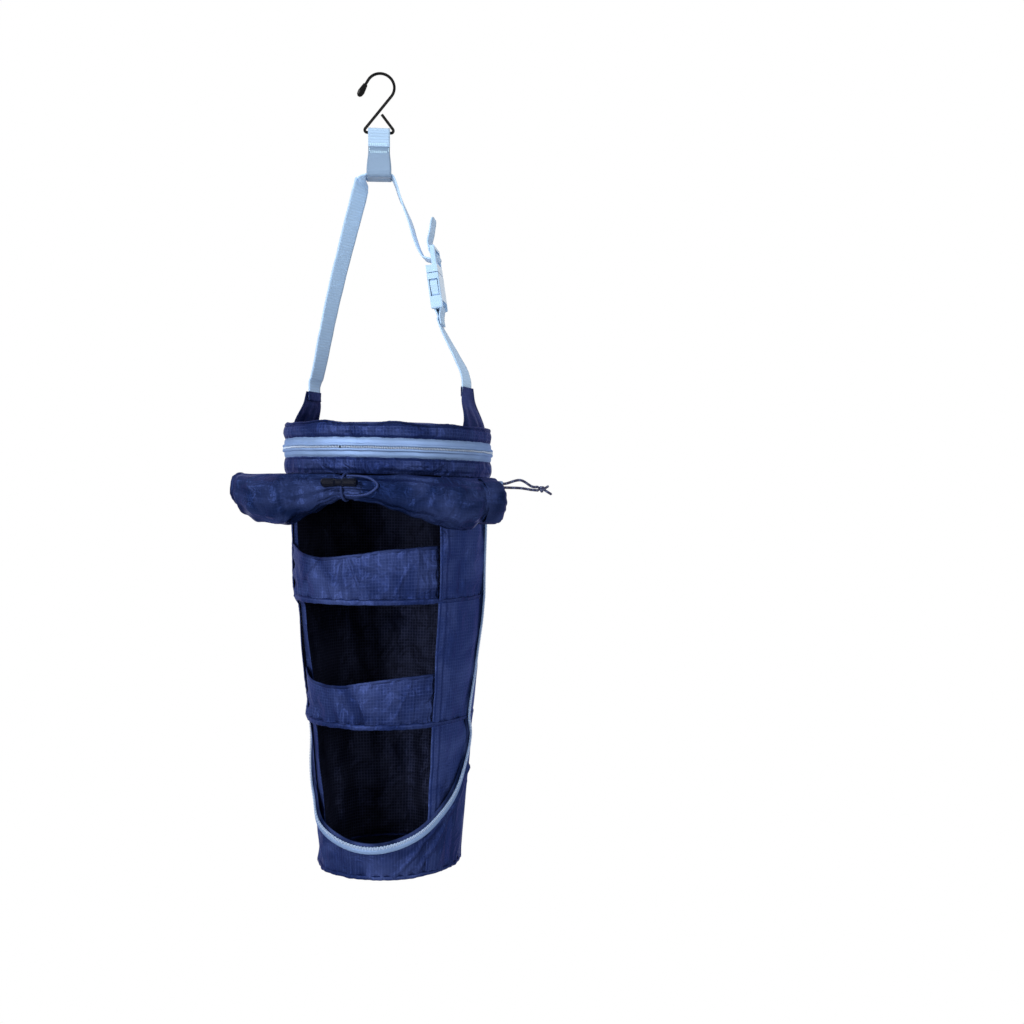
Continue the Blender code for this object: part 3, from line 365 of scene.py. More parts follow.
def elastic(name, colour):
    """A plain covered elastic with fine lengthways ribs, their crests painted with sheen."""
    s = Shading(name, colour, 0.45, SATIN)
    u, v = s.uv()
    rib = (u + v * 0.35).wave(0.9 * MM)
    fuzz = s.noise(800.0)
    # The ribs' crests turn towards the gleam colour: a painted sheen.
    return s.finish(rib * 0.5 + fuzz * 0.3, NAVY_GLEAM, rib * (0.1 * MM) + fuzz * (0.04 * MM))


def braid(name, colour, fleck):
    """Braided cord with light flecks, wound round its length."""
    s = Shading(name, colour, 0.6, {"Sheen Weight": 0.2, "Specular IOR Level": 0.3})
    u, v = s.uv()
    one = (v + u).wave(1.6 * MM)
    weave = highest(one, (v - u).wave(1.6 * MM))
    dots = one.act("GREATER_THAN", 0.8) * v.wave(4.1 * MM).act("GREATER_THAN", 0.72)
    return s.finish(dots, fleck, weave * (0.2 * MM) + s.noise(800.0) * (0.05 * MM))


def link(name, data):
    """An object for a mesh or a curve in the scene."""
    item = bpy.data.objects.new(name, data)
    bpy.context.scene.collection.objects.link(item)
    return item


def build(name, points, faces, spots, material):
    """An object for a smooth mesh: spots are its surface coordinates, one for each face's corner."""
    mesh = bpy.data.meshes.new(name)
    mesh.from_pydata(points, [], faces)
    mesh.uv_layers.new(name="surface").data.foreach_set("uv", [c for spot in spots for c in spot])
    mesh.shade_smooth()
    mesh.materials.append(material)
    return link(name, mesh)


def surface(name, nu, nv, place, size, material, closed=False, thickness=CLOTH_T, inner=None):
    """Cloth: a grid of points place(u, v), u and v from 0 to 1, with surface coordinates in metres
    and a thickness. closed joins the end in u to its start. inner is the material of its back."""
    columns = nu if closed else nu + 1
    points = [place(i / nu, j / nv) for j in range(nv + 1) for i in range(columns)]
    corners = [[(i + a, j + b) for a, b in ((0, 0), (0, 1), (1, 1), (1, 0))]
               for j in range(nv) for i in range(nu)]
    faces = [[j * columns + i % columns for i, j in face] for face in corners]
    spots = [(i / nu * size[0], j / nv * size[1]) for face in corners for i, j in face]
    item = build(name, points, faces, spots, material)
    if thickness:
        solid = item.modifiers.new("thickness", "SOLIDIFY")
        solid.thickness = thickness
        solid.offset = 0
        if inner:
            item.data.materials.append(inner)
            solid.material_offset = 1
    return item


def settle(item, nodes=(), body="case", tier=None):
    """Hides the nodes that a piece stands for. It rides on a body, or, given a tier, has its place baked into
    its mesh."""
    if nodes:
        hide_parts(*nodes)
    if tier is None:
        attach(item, body)
    else:
        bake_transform(item)


def make_camera():
    """The camera stands level, 25 degrees to the right of the front, and turns a little aside so
    that the column falls where the photograph has it."""
    data = bpy.data.cameras.new("camera")
    focal = VIEW_DISTANCE / PIXEL
    aside = atan((FRAME_PIXELS / 2 - AXIS_PIXEL) / focal)
    data.sensor_width = SENSOR
    data.lens = SENSOR * focal * cos(aside) / FRAME_PIXELS
    data.shift_y = (HORIZON_PIXEL - FRAME_PIXELS / 2) / FRAME_PIXELS
    camera = link("camera", data)
    away = Vector((sin(VIEW_TURN), -cos(VIEW_TURN), 0)) * VIEW_DISTANCE
    camera.location = Vector((AXIS.x, AXIS.y, HORIZON_Z)) + away
    camera.rotation_euler = (90 * DEG, 0, VIEW_TURN - aside)
    bpy.context.scene.camera = camera


def white_to_camera(tree, plain, white, output):
    """Shows white to the camera and in reflections, and the plain shader to other light."""
    path = tree.nodes.new("ShaderNodeLightPath").outputs
    share = highest(*(Value(tree, path[key]) for key in ("Is Camera Ray", "Is Glossy Ray",
                                                         "Is Transmission Ray")))
    blend = tree.nodes.new("ShaderNodeMixShader")
    for socket, place in ((share.socket, blend.inputs[0]), (plain.outputs[0], blend.inputs[1]),
                          (white.outputs[0], blend.inputs[2]), (blend.outputs[0], output.inputs[0])):
        tree.links.new(socket, place)


def make_studio():
    """A white world, a pale floor and four soft lamps."""
    scene = bpy.context.scene
    scene.view_settings.view_transform = "Standard"
    scene.world = bpy.data.worlds.new("studio")
    scene.world.use_nodes = True
    tree = scene.world.node_tree
    dim = tree.nodes["Background"]
    dim.inputs[0].default_value = (0.94, 0.96, 1.0, 1)
    dim.inputs[1].default_value = WORLD_STRENGTH
    white = tree.nodes.new("ShaderNodeBackground")
    white.inputs[0].default_value = (1, 1, 1, 1)
    white_to_camera(tree, dim, white, tree.nodes["World Output"])

    pale = bpy.data.materials.new("pale_floor")
    pale.use_nodes = True
    tree = pale.node_tree
    shader = tree.nodes["Principled BSDF"]
    shader.inputs["Base Color"].default_value = (0.85, 0.85, 0.85, 1)
    shader.inputs["Roughness"].default_value = 0.9
    white_to_camera(tree, shader, tree.nodes.new("ShaderNodeEmission"), tree.nodes["Material Output"])
    corners = [(x * FLOOR_REACH, y * FLOOR_REACH) for x, y in ((-1, -1), (1, -1), (1, 1), (-1, 1))]
    points = [(x, y, cad_low.z - FLOOR_DROP) for x, y in corners]
    build("floor", points, [(0, 1, 2, 3)], corners, pale)

    for name, place, size, power in LAMPS:
        data = bpy.data.lights.new(name, "AREA")
        data.shape = "RECTANGLE"
        data.size, data.size_y = size
        data.energy = power
        lamp = link(name, data)
        lamp.location = place
        aim = Vector((AXIS.x, AXIS.y, HORIZON_Z)) - Vector(place)
        lamp.rotation_euler = aim.to_track_quat("-Z", "Y").to_euler()


# Places that the joints give
JOINTS = {joint["name"]: joint for joint in frame["joints"]}
BAR = Vector(JOINTS["tab_swing"]["pos_m"])
HANG_RIGHT = Vector(JOINTS["tab_swing"]["axis"]).normalized()
HANG_OUT = Vector((HANG_RIGHT.y, -HANG_RIGHT.x, 0))
FOLD = Vector(JOINTS["bail_fold"]["pos_m"])
PRONG_FRONT = Vector(JOINTS["prong_front_squeeze"]["pos_m"])
PRONG_BACK = Vector(JOINTS["prong_back_squeeze"]["pos_m"])
BUCKLE_AT = (PRONG_FRONT + PRONG_BACK) / 2
BUCKLE_SIDE = (PRONG_FRONT - PRONG_BACK).normalized()
BUCKLE_OUT = Vector(JOINTS["prong_front_squeeze"]["axis"]).normalized()
BUCKLE_UP = BUCKLE_SIDE.cross(BUCKLE_OUT)
GAP = 0.3 * MM


def smooth_route(points, per_span=6):
    """Points along a smooth curve through the given ones."""
    knots = [Vector(p) for p in points]
    knots = [knots[0] * 2 - knots[1]] + knots + [knots[-1] * 2 - knots[-2]]
    route = []
    for i in range(1, len(knots) - 2):
        before, start, end, after = knots[i - 1:i + 3]
        for step in range(per_span):
            t = step / per_span
            route.append(0.5 * ((2 * start) + (end - before) * t
                                + (2 * before - 5 * start + 4 * end - after) * t * t
                                + (3 * start - before - 3 * end + after) * t ** 3))
    route.append(knots[-2])
    return route


def measure(route):
    """The lengths from a route's start to each of its points."""
    reach = [0.0]
    for a, b in zip(route, route[1:]):
        reach.append(reach[-1] + (b - a).length)
    return reach


def spread(values, count):
    """Values at even steps along a list of vectors."""
    result = []
    for i in range(count):
        place = i * (len(values) - 1) / (count - 1)
        low = min(int(place), len(values) - 2)
        result.append(values[low].lerp(values[low + 1], place - low))
    return result


def along_route(route, reach, distance):
    """The point of a route at a distance from its start, and its index there."""
    k = 0
    while k < len(route) - 2 and reach[k + 1] < distance:
        k += 1
    t = (distance - reach[k]) / max(reach[k + 1] - reach[k], 1e-9)
    return route[k].lerp(route[k + 1], min(1.0, max(0.0, t))), k + t


def tube(name, route, radius, material, closed=False, caps=3):
    """A cord along a route, closed in itself or round at both ends."""
    reach = measure(route + route[:1] if closed else route)
    rings = []
    last = len(route) - 1
    side = None
    for i, point in enumerate(route):
        before = route[i - 1] if closed or i else route[0]
        after = route[(i + 1) % len(route)] if closed or i < last else route[last]
        run = (after - before).normalized()
        if side is None:
            side = run.orthogonal().normalized()
        side = (side - run * side.dot(run)).normalized()
        rings.append((point, side, run.cross(side), radius))
    if closed:
        _, side, other, _ = rings[0]
        last_side = rings[-1][1]
        turn = atan2(last_side.dot(other), last_side.dot(side))
        for i, (point, side, other, _) in enumerate(rings):
            angle = turn * -i / len(rings)
            rings[i] = (point, side * cos(angle) + other * sin(angle), other * cos(angle) - side * sin(angle),
                        radius)
        rings.append(rings[0])
    else:
        for at, sign in ((0, -1), (-1, 1)):
            point, side, other, _ = rings[at]
            out = side.cross(other).normalized() * sign
            turns = [pi / 2 * k / caps for k in range(1, caps + 1)]
            rounds = [(point + out * radius * sin(turn), side, other, radius * max(cos(turn), 0.04))
                      for turn in turns]
            rings = rings + rounds if at else rounds[::-1] + rings
    count = len(rings) - 1

    def place(u, v):
        point, side, other, r = rings[round(v * count)]
        return point + (side * cos(TURN * u) + other * sin(TURN * u)) * r

    return surface(name, 12, count, place, (TURN * radius, reach[-1]), material, closed=True, thickness=0)


def strip(name, route, sides, width, material, thickness=STRAP_T * 0.9, step=1.2 * MM, wave=0.2 * MM,
          closed=False, corner=0.0, spread_out=None):
    """Webbing along a route, its far end's corners rounded by corner and its width changed by
    spread_out of the place: its surface coordinates are metres across and along."""
    if closed:
        route = route + route[:1]
        sides = sides + sides[:1]
    reach = measure(route)
    length = reach[-1]
    count = max(8, int(length / step))
    rows = []
    for j in range(count + 1):
        distance = length * j / count
        centre, k = along_route(route, reach, distance)
        ahead, _ = along_route(route, reach, min(distance + step, length))
        behind, _ = along_route(route, reach, max(distance - step, 0))
        run = (ahead - behind).normalized()
        low = min(int(k), len(sides) - 2)
        side = sides[low].lerp(sides[low + 1], min(1.0, max(0.0, k - low)))
        side = (side - run * side.dot(run)).normalized()
        rows.append((centre, side, run.cross(side), distance))

    def place(u, v):
        centre, side, normal, distance = rows[round(v * count)]
        shift = wave * swell(Vector((u * 1.4, distance * 60, 7.0)), 1.0, len(name))
        past = min(max(distance - length + corner, 0.0), corner)
        off = (u - 0.5) * (width - 2 * (corner - sqrt(corner ** 2 - past ** 2)))
        off *= spread_out(centre) if spread_out else 1.0
        return centre + side * off + normal * shift

    return surface(name, 10, count, place, (width, length), material, thickness=thickness)


def merge(name, items):
    """Several pieces as one."""
    for item in items:
        for modifier in list(item.modifiers):
            with bpy.context.temp_override(object=item, active_object=item):
                bpy.ops.object.modifier_apply(modifier=modifier.name)
    with bpy.context.temp_override(active_object=items[0], object=items[0],
                                   selected_editable_objects=items, selected_objects=items):
        bpy.ops.object.join()
    items[0].name = name
    items[0].data.name = name
    return items[0]


def raised(name, verts, faces, material):
    """Small raised pieces as one mesh."""
    spots = [(verts[k].x + verts[k].y, verts[k].z) for face in faces for k in face]
    return build(name, verts, faces, spots, material)


def stitches(name, route, normal, material, gap=0.35 * MM, width=0.55 * MM, length=1.4 * MM):
    """A row of stitches along a route: short raised threads."""
    reach = measure(route)
    verts, faces = [], []
    distance = gap
    while distance + length < reach[-1]:
        a, m, b = (along_route(route, reach, distance + length * share)[0] for share in (0, 0.5, 1))
        side = (b - a).cross(normal).normalized() * width / 2
        lift = normal * width * 0.55
        first = len(verts)
        for point, share, rise in ((a, 0.5, 0.0), (a.lerp(m, 0.5), 1, 0.8), (m, 1, 1.0),
                                   (m.lerp(b, 0.5), 1, 0.8), (b, 0.5, 0.0)):
            verts += [point - side * share, point + lift * rise, point + side * share]
        for k in range(first, first + 12, 3):
            faces += [(k, k + 3, k + 4, k + 1), (k + 1, k + 4, k + 5, k + 2)]
        distance += length + gap
    return raised(name, verts, faces, material)


# The pull cord
SLIDER_L = 11 * MM
PULL_CORD_R = 1.2 * MM
KNOT_R = 3.2 * MM
KNOT_TURN = 0.78 * MM


def pull_route(slider, knot, side, rise):
    """One strand of the pull cord, from the slider to the knot."""
    run = Vector((cos(ROLL_BEND), sin(ROLL_BEND), 0))
    leave = slider + run * (SLIDER_L / 2 + GAP)
    back = (leave - knot).normalized()
    start = leave + UP * side * 1.8 * MM
    stop = knot + back * (KNOT_R + GAP) + UP * side * 1.5 * MM
    halfway = start.lerp(stop, 0.5) + UP * rise * MM
    return smooth_route([start, start + run * 4 * MM, halfway, stop + back * 6 * MM, stop], 6)


def make_pull_cord(material):
    """The two strands and the overhand knot with its two tails."""
    slider = middle("door_zip_slider")
    knot = middle("pull_cord_knot")
    away = Vector((knot.x - slider.x, knot.y - slider.y, 0)).normalized()
    aside = Vector((-away.y, away.x, 0))
    turns = []
    for i in range(36):
        t = TURN * i / 36
        x, y, z = sin(t) + 2 * sin(2 * t), cos(t) - 2 * cos(2 * t), -sin(3 * t)
        turns.append(knot + (away * x * 0.95 + UP * y * 0.9 + aside * z * 1.3) * KNOT_TURN)
    parts = [tube("knot_turns", turns, PULL_CORD_R * 0.98, material, closed=True)]
    for up, out, length in ((0.35, 0.25, 6.5), (-0.55, -0.2, 8.0)):
        end = away * length + UP * up * length + aside * out * length
        route = smooth_route([knot + point * MM for point in (away * 0.8, away * 3.0 + UP * up * 2, end)], 6)
        parts.append(tube("knot_tail", route, PULL_CORD_R * 0.95, material))
    knot_piece = merge("pull_knot", parts)
    settle(knot_piece, ["pull_cord_knot"])
    for name, side, rise in (("upper", 1, 4.5), ("lower", -1, 0.8)):
        route = pull_route(slider, knot, side, rise)
        strand = tube("pull_strand_" + name, route, PULL_CORD_R, material, caps=1)
        settle(strand, ["pull_cord_" + name])
        measure(route)[-1]


# Hook, tab and straps
WIRE_R = 1.35 * MM
TAB_U = -1.2 * MM
TAB_HEIGHT = 46.4 * MM
TAB_EYE = 6 * MM
TAB_SEWN = 13 * MM
TAB_SIDE = 5 * MM
ANCHOR_LAP = 4 * MM
ANCHOR_STEM = 5 * MM
STRAP_STEM = 9 * MM
FRAME_H = 25 * MM
FRAME_TOP = 3.6 * MM
FRAME_T = 4.6 * MM
SOCKET_H = 33 * MM
BAR_R = 2 * MM
TAIL_L = 27 * MM
FOLD_L = 14 * MM
WRAP_R = BAR_R + GAP + STRAP_T / 2
LADDER_BAR = 15 * MM
FRAME_OUT = 2.9 * MM        # the ladder lock's middle, outwards from the buckle's
TAIL_OUT = FRAME_OUT - FRAME_T / 2 - GAP - STRAP_T / 2
SOCKET_BAR = SOCKET_H - BAR_R
# The tab's seams: how far out in strap thicknesses, and both ends as millimetres along and down
TAB_SEAMS = ((1.45, (-8.6, 5.2), (8.6, 5.2)), (1.45, (-8.6, 6.3), (8.6, 6.3)),
             (0.55, (-8.6, 11.6), (8.6, 11.6)), (0.55, (-8.6, 12.7), (8.6, 12.7)),
             (0.55, (-8.8, 8.2), (-8.8, 12.6)), (0.55, (8.8, 8.2), (8.8, 12.6)))
# The long strap over the tab's floor, in millimetres along and down
STRAP_OVER = ((-19.5, 22), (-15.5, 6.5), (-12.7, 1.1), (-9.5, 0), (0, 0), (9.5, 0), (12.9, 1.4), (15.1, 6),
              (19.5, 18))
# The straps above their anchors, in millimetres from the anchor
LEFT_RISE = ((1.3, 0, 15), (4.5, 0, 24), (22.8, -2, 98))
RIGHT_RISE = ((-1.4, 0, 15), (-5, 0, 24))


def hang_point(along, z, out=0.0):
    """A point in the hook's plane: along the bar, its height, and out of the plane."""
    return HANG_RIGHT * along + HANG_OUT * out + UP * z


def arc(centre, radius, start, end, steps):
    """Points of an arc in a plane."""
    return [(centre[0] + radius * cos(mix(start, end, i / steps)),
             centre[1] + radius * sin(mix(start, end, i / steps))) for i in range(steps + 1)]


def buckle_point(out, up, across_web=0.0):
    """A point in the buckle's frame, in the part's frame."""
    return BUCKLE_AT + BUCKLE_SIDE * across_web + BUCKLE_OUT * out + BUCKLE_UP * up


def make_tab(web, shaded, thread):
    """The hanger tab: one webbing loop round the bar, sewn shut below it and open again as a
    triangle whose floor carries the strap, with the webbing's end lapped over the front."""
    middle_r = WIRE_R + GAP + STRAP_T / 2
    front = middle_r + STRAP_T * 0.95
    layer = STRAP_T / 2 + 0.05 * MM
    top = BAR.z - TAB_EYE
    sewn = top - TAB_SEWN
    floor = BAR.z + WIRE_R + GAP + STRAP_T - TAB_HEIGHT + STRAP_T / 2
    foot = WEB_W / 2 + GAP + STRAP_T / 2
    half = [(layer, top), (layer, (top + sewn) / 2), (layer, sewn), (layer + 3.6 * MM, sewn - 5 * MM),
            (foot - 0.6 * MM, floor + TAB_SIDE + 2 * MM), (foot, floor + 2.2 * MM), (foot - 1.4 * MM, floor)]

    def drawn(points, per_span):
        """A smooth line through points that are given as outwards and up."""
        route = smooth_route([(*point, 0) for point in points], per_span)
        return [hang_point(TAB_U, p.y, p.x) for p in route]

    def wider(centre):
        """The lower loop spreads towards its floor, where it is pressed flat."""
        return 1 + 0.14 * smooth(sewn + 3 * MM, floor + 4 * MM, centre.z)

    points = drawn([(0, floor)] + half[::-1] + arc((0, BAR.z), middle_r, -30 * DEG, 210 * DEG, 14)
                   + [(-x, z) for x, z in half] + [(0, floor)], 4)[:-1]
    body = strip("tab_loop", points, [HANG_RIGHT] * len(points), WEB_W - 1 * MM, shaded, closed=True,
                 spread_out=wider)
    lap = [(front * sin(a * DEG), BAR.z + front * cos(a * DEG)) for a in (10, 45, 80)]
    lap += [(layer + STRAP_T * out, top + z * MM) for out, z in ((1.1, 0.5), (0.95, -4), (0.9, -7.4))]
    lap = drawn(lap, 5)
    over = strip("tab_lap", lap, [HANG_RIGHT] * len(lap), WEB_W - 0.8 * MM, web, STRAP_T * 0.85,
                 wave=0.15 * MM)
    rows = [stitches("tab_seam", [hang_point(TAB_U + x * MM, top - drop * MM, layer + STRAP_T * out)
                                  for x, drop in ends], HANG_OUT, thread) for out, *ends in TAB_SEAMS]
    settle(body, ["hanger_tab"], "strap")
    settle(over, body="strap")
    settle(merge("tab_stitching", rows), body="strap")
    return floor + STRAP_T / 2 + GAP + STRAP_T / 2


def wrap(bar_out, bar_up, start, end, steps=10):
    """The turn of webbing round a bar of the buckle."""
    return [buckle_point(*point) for point in arc((bar_out, bar_up), WRAP_R, start, end, steps)]


def make_straps(web, thread, tab_floor):
    """The long strap from the left anchor over the tab's floor, down behind the ladder lock, over
    its bar and out behind the frame as its tail, and the short strap from the socket to the right
    anchor."""
    inside = abs(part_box("anchor_left")[1][0] - AXIS.x) - STRAP_T / 2 - GAP
    left = Vector((AXIS.x - inside, AXIS.y, FOLD.z))
    right = Vector((AXIS.x + inside, AXIS.y, FOLD.z))
    stem = [UP * z for z in (2 * GAP - ANCHOR_LAP, STRAP_STEM / 3, STRAP_STEM)]
    route = [left + p for p in stem + [Vector(p) * MM for p in LEFT_RISE]]
    route += [hang_point(TAB_U + x * MM, tab_floor - drop * MM) for x, drop in STRAP_OVER]
    route += [Vector((26.8, 2, -132)) * MM, buckle_point(-13.2 * MM, 35 * MM),
              buckle_point(-10.8 * MM, FRAME_H), buckle_point(-7.4 * MM, LADDER_BAR + 1.6 * MM)]
    route = smooth_route(route, 8)
    turned = [Vector((x, -1, 0)) for x in (-0.09, -0.09, -0.18, -0.27, -0.12)]
    sides = spread([FRONT] * 3 + turned + [HANG_OUT] * 7 + [BUCKLE_SIDE] * 4, len(route))
    rise = FRAME_OUT - TAIL_OUT
    turn = wrap(FRAME_OUT, LADDER_BAR, 232 * DEG, 450 * DEG, 14)
    turn += [buckle_point(FRAME_OUT - rise * sin(a * DEG), LADDER_BAR + WRAP_R + rise * (1 - cos(a * DEG)))
             for a in range(15, 91, 15)]
    tail = [buckle_point(TAIL_OUT, FRAME_H - FRAME_TOP / 2)]
    tail += [buckle_point(TAIL_OUT + out * MM, FRAME_H + share * TAIL_L)
             for out, share in ((0, 0), (-0.3, 0.2), (2.6, 0.5), (4.6, 0.75), (7.0, 1.0))]
    rest = turn + smooth_route(tail, 5)
    settle(strip("strap_long", route + rest, sides + [BUCKLE_SIDE] * len(rest), WEB_W, web, wave=0.25 * MM,
                 corner=5 * MM), ["long_strap"], "strap")

    fold = (STRAP_T + GAP) / 2
    leg = [(WRAP_R, -SOCKET_BAR - 1 * MM), (1.9 * MM, -SOCKET_H - 2.5 * MM), (fold, -SOCKET_H - 7 * MM),
           (fold, -SOCKET_H - FOLD_L)]
    route = smooth_route([right + p for p in stem + [Vector(p) * MM for p in RIGHT_RISE]]
                         + [buckle_point(-out, up) for out, up in reversed(leg)], 6)
    sides = spread([FRONT] * 5 + [BUCKLE_SIDE] * 4, len(route))
    rest = wrap(0.0, -SOCKET_BAR, pi, 0) + smooth_route([buckle_point(*point) for point in leg], 6)
    settle(strip("strap_short", route + rest, sides + [BUCKLE_SIDE] * len(rest), WEB_W, web),
           ["short_strap"], "strap")
    rows = [stitches("fold_seam", [buckle_point(fold + STRAP_T * 0.55, -SOCKET_H - FOLD_L * drop, end * MM)
                                   for end in (-9, 9)], BUCKLE_OUT, thread, 0.5 * MM, 0.5 * MM)
            for drop in (0.62, 0.93)]
    settle(merge("strap_stitching", rows), body="strap")


def make_anchor(name, sign, material):
    """The gusset that holds one end of the bail: upright at its top, splayed to the rim below and
    creased from its corners. A doubled flap of it is sewn over the strap's end."""
    low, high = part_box(name)
    top_w = 24 * MM
    base_w = high[1] - low[1]
    reach = [abs(c - AXIS.x) for c in (low[0], high[0])]
    top_r = min(reach) + 0.4 * MM
    foot_r = max(reach) - 0.4 * MM
    top = high[2]
    foot = min(low[2], slump(Vector((AXIS.x + sign * foot_r, AXIS.y, RIM_Z))).z - 1.2 * MM)
    stem = FOLD.z - ANCHOR_STEM
    face = top_r - CLOTH_T / 2 - 2 * GAP - STRAP_T

    def place(u, v):
        z = mix(top, foot, v)
        open_share = smooth(0, 1, (stem - z) / (stem - foot))
        width = mix(top_w, base_w, v)
        off = (u - 0.5) * width - 3 * MM * v * (1 - u)
        radius = mix(top_r, sqrt(foot_r ** 2 - off ** 2), open_share)
        fan = off / width * 8
        crease = 0.55 * MM * cos(fan * 2.2 + 0.6 + sign) * open_share
        crease += 0.8 * MM * open_share * swell(Vector((fan * 0.7, v * 1.4, sign)), 1.0)
        hem = 0.4 * MM * (1 - smooth(0.0, 0.07, min(u, 1 - u)))
        return Vector((AXIS.x + sign * (radius + crease + hem), AXIS.y + off, z))

    def flap_place(u, v):
        around = mix(-1, 1, u)
        edge = smooth(0.9, 1.0, abs(around))
        puff = 0.3 * MM * swell(Vector((u * 5, v * 2, sign + 4)), 1.0)
        return Vector((AXIS.x + sign * (face - 0.35 * MM + edge * STRAP_T * 0.8 + puff * (1 - edge)),
                       AXIS.y + around * (WEB_W / 2 + 1.2 * MM),
                       mix(top, FOLD.z - ANCHOR_LAP - 0.6 * MM, v)))

    settle(surface(name.replace("anchor", "gusset"), 56, 44, place, (base_w, top - foot), material),
           [name])
    settle(surface(name.replace("anchor", "gusset_flap"), 24, 10, flap_place, (23 * MM, 11.4 * MM), material,
                   thickness=0.5 * MM), body="strap")


# The case
RIM_Z, ZIP_TOP = heights("upper_band")
ZIP_BOTTOM, CASE_BOTTOM = heights("lower_band")
ZIP_MID = middle("zip_coil").z
CASE_R = across("top_cover") + GAP + 0.4 * MM
VIEW_RIGHT = Vector((cos(VIEW_TURN), sin(VIEW_TURN), 0))
SLUMP = 0.022               # the case hangs lower on the buckle's side
TINY_R = 0.5 * MM           # a disc's innermost ring
# The zip's lip along the coil, in millimetres out from the case and away from the zip's middle
ZIP_LIP = ((1.0, 5.6), (1.1, 3.4), (2.0, 3.1), (2.7, 2.2), (2.3, 1.3), (1.3, 1.0))


def slump(point):
    """The case's cloth hangs a little lower on its right, from the bail's fold to the first shelf."""
    share = 1 - smooth(RIM_Z, FOLD.z, point.z)
    share *= smooth(SEAMS[1], SEAMS[1] + 60 * MM, point.z)
    return point - UP * SLUMP * share * (point - AXIS).dot(VIEW_RIGHT)


def pucker(angle, radius, pitch, seed=0.0, z=0.0):
    """Upright puckers round the column, from about -1 to 1, closed round the ring."""
    spot = Vector((sin(angle) * radius / pitch, -cos(angle) * radius / pitch, z + seed))
    return 1.5 * noise.noise(spot)


def ring(name, nu, nv, shape, size, material, thickness=CLOTH_T, slumped=True):
    """Cloth right round the column: shape(angle, v) gives its radius and height."""
    def place(u, v):
        point = round_point(TURN * u, *shape(TURN * u, v))
        return slump(point) if slumped else point

    return surface(name, nu, nv, place, size, material, closed=True, thickness=thickness)


def rim_wave(angle):
    """The slow wave of the case's top edge."""
    return 1.2 * MM * pucker(angle, CASE_R, 26 * MM, 5.0)


def make_cover(material):
    """The case's domed cover, wrinkled towards its rim."""
    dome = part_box("top_cover")[1][2] - RIM_Z
    reach = across("top_cover")

    def shape(angle, v):
        radius = max(TINY_R, reach * v)
        rise = dome * max(0.0, 1 - (v / 0.9) ** 2)
        flute = 1.0 * MM * smooth(0.35, 1.0, v) * (1 - smooth(0.97, 1.0, v)) * pucker(angle, radius, 11 * MM)
        sag = 1.2 * MM * swell(round_point(angle, radius, 0), 14.0, 2.0)
        edge = rim_wave(angle) * smooth(0.7, 1.0, v)
        return radius, RIM_Z - 0.4 * MM + rise + flute + edge + sag * (1 - v ** 4)

    settle(ring("case_cover", 220, 40, shape, (TURN * reach, reach), material), ["top_cover"])


def make_band(name, top, low, material, node, top_seam, low_seam, seed):
    """One band of the case, puckered along both of its seams."""
    height = top - low

    def shape(angle, v):
        z = top - v * height
        near_top = exp(-v * height / (3.2 * MM))
        near_low = exp(-(1 - v) * height / (3.2 * MM))
        free = sin(pi * v)
        belly = 1.1 * MM * free ** 0.7
        slow = 0.7 * MM * pucker(angle, CASE_R, 34 * MM, seed)
        fine = 0.75 * MM * free ** 0.5 * pucker(angle, CASE_R, 4.6 * MM, seed + 3, v * 0.6)
        crease = 0.55 * MM * free * ridge(round_point(angle, CASE_R, z * 1.5), 70.0, seed)
        tuck = -0.5 * MM * (near_top * top_seam + near_low * low_seam)
        lift = 0.5 * MM * pucker(angle, CASE_R, 9 * MM, seed + 9) * (near_top - near_low * 0.6)
        if top == RIM_Z:
            lift += rim_wave(angle) * near_top
        return CASE_R + belly + slow * free + fine + crease + tuck, z + lift

    settle(ring(name, 480, 22, shape, (TURN * CASE_R, height), material), [node])


def make_rim(material):
    """The piped seam between the cover and the upper band."""
    def shape(angle, v):
        bead = 1.1 * MM * (1 + 0.22 * pucker(angle, CASE_R, 2.6 * MM, 8.0))
        return (CASE_R - 0.2 * MM + bead * cos(TURN * v),
                RIM_Z + 0.3 * MM + rim_wave(angle) + bead * sin(TURN * v))

    settle(ring("rim_piping", 420, 10, shape, (TURN * CASE_R, 9 * MM), material, 0))


def zip_wave(angle):
    """The slow wave of the case's zip."""
    return 0.35 * MM * pucker(angle, CASE_R, 12 * MM, 21.0)


def make_zip_tape(name, node, sign, material):
    """One tape of the case's zip: flat, with a rounded lip along the coil."""
    outer = (ZIP_TOP - ZIP_BOTTOM) / 2
    profile = [(-0.3 * MM, outer + 0.6 * MM), (0.7 * MM, outer - 0.9 * MM)]
    profile += [(out * MM, up * MM) for out, up in ZIP_LIP]
    line = smooth_route([(CASE_R + out, ZIP_MID + sign * up, 0) for out, up in profile], 4)
    reach = measure(line)

    def shape(angle, v):
        point, _ = along_route(line, reach, v * reach[-1])
        fine = 0.2 * MM * smooth(0.25, 0.0, v) * pucker(angle, CASE_R, 3.4 * MM, 2.0)
        return point.x + fine, point.y + zip_wave(angle)

    settle(ring(name, 420, 28, shape, (TURN * CASE_R, reach[-1]), material, 0.5 * MM), [node])


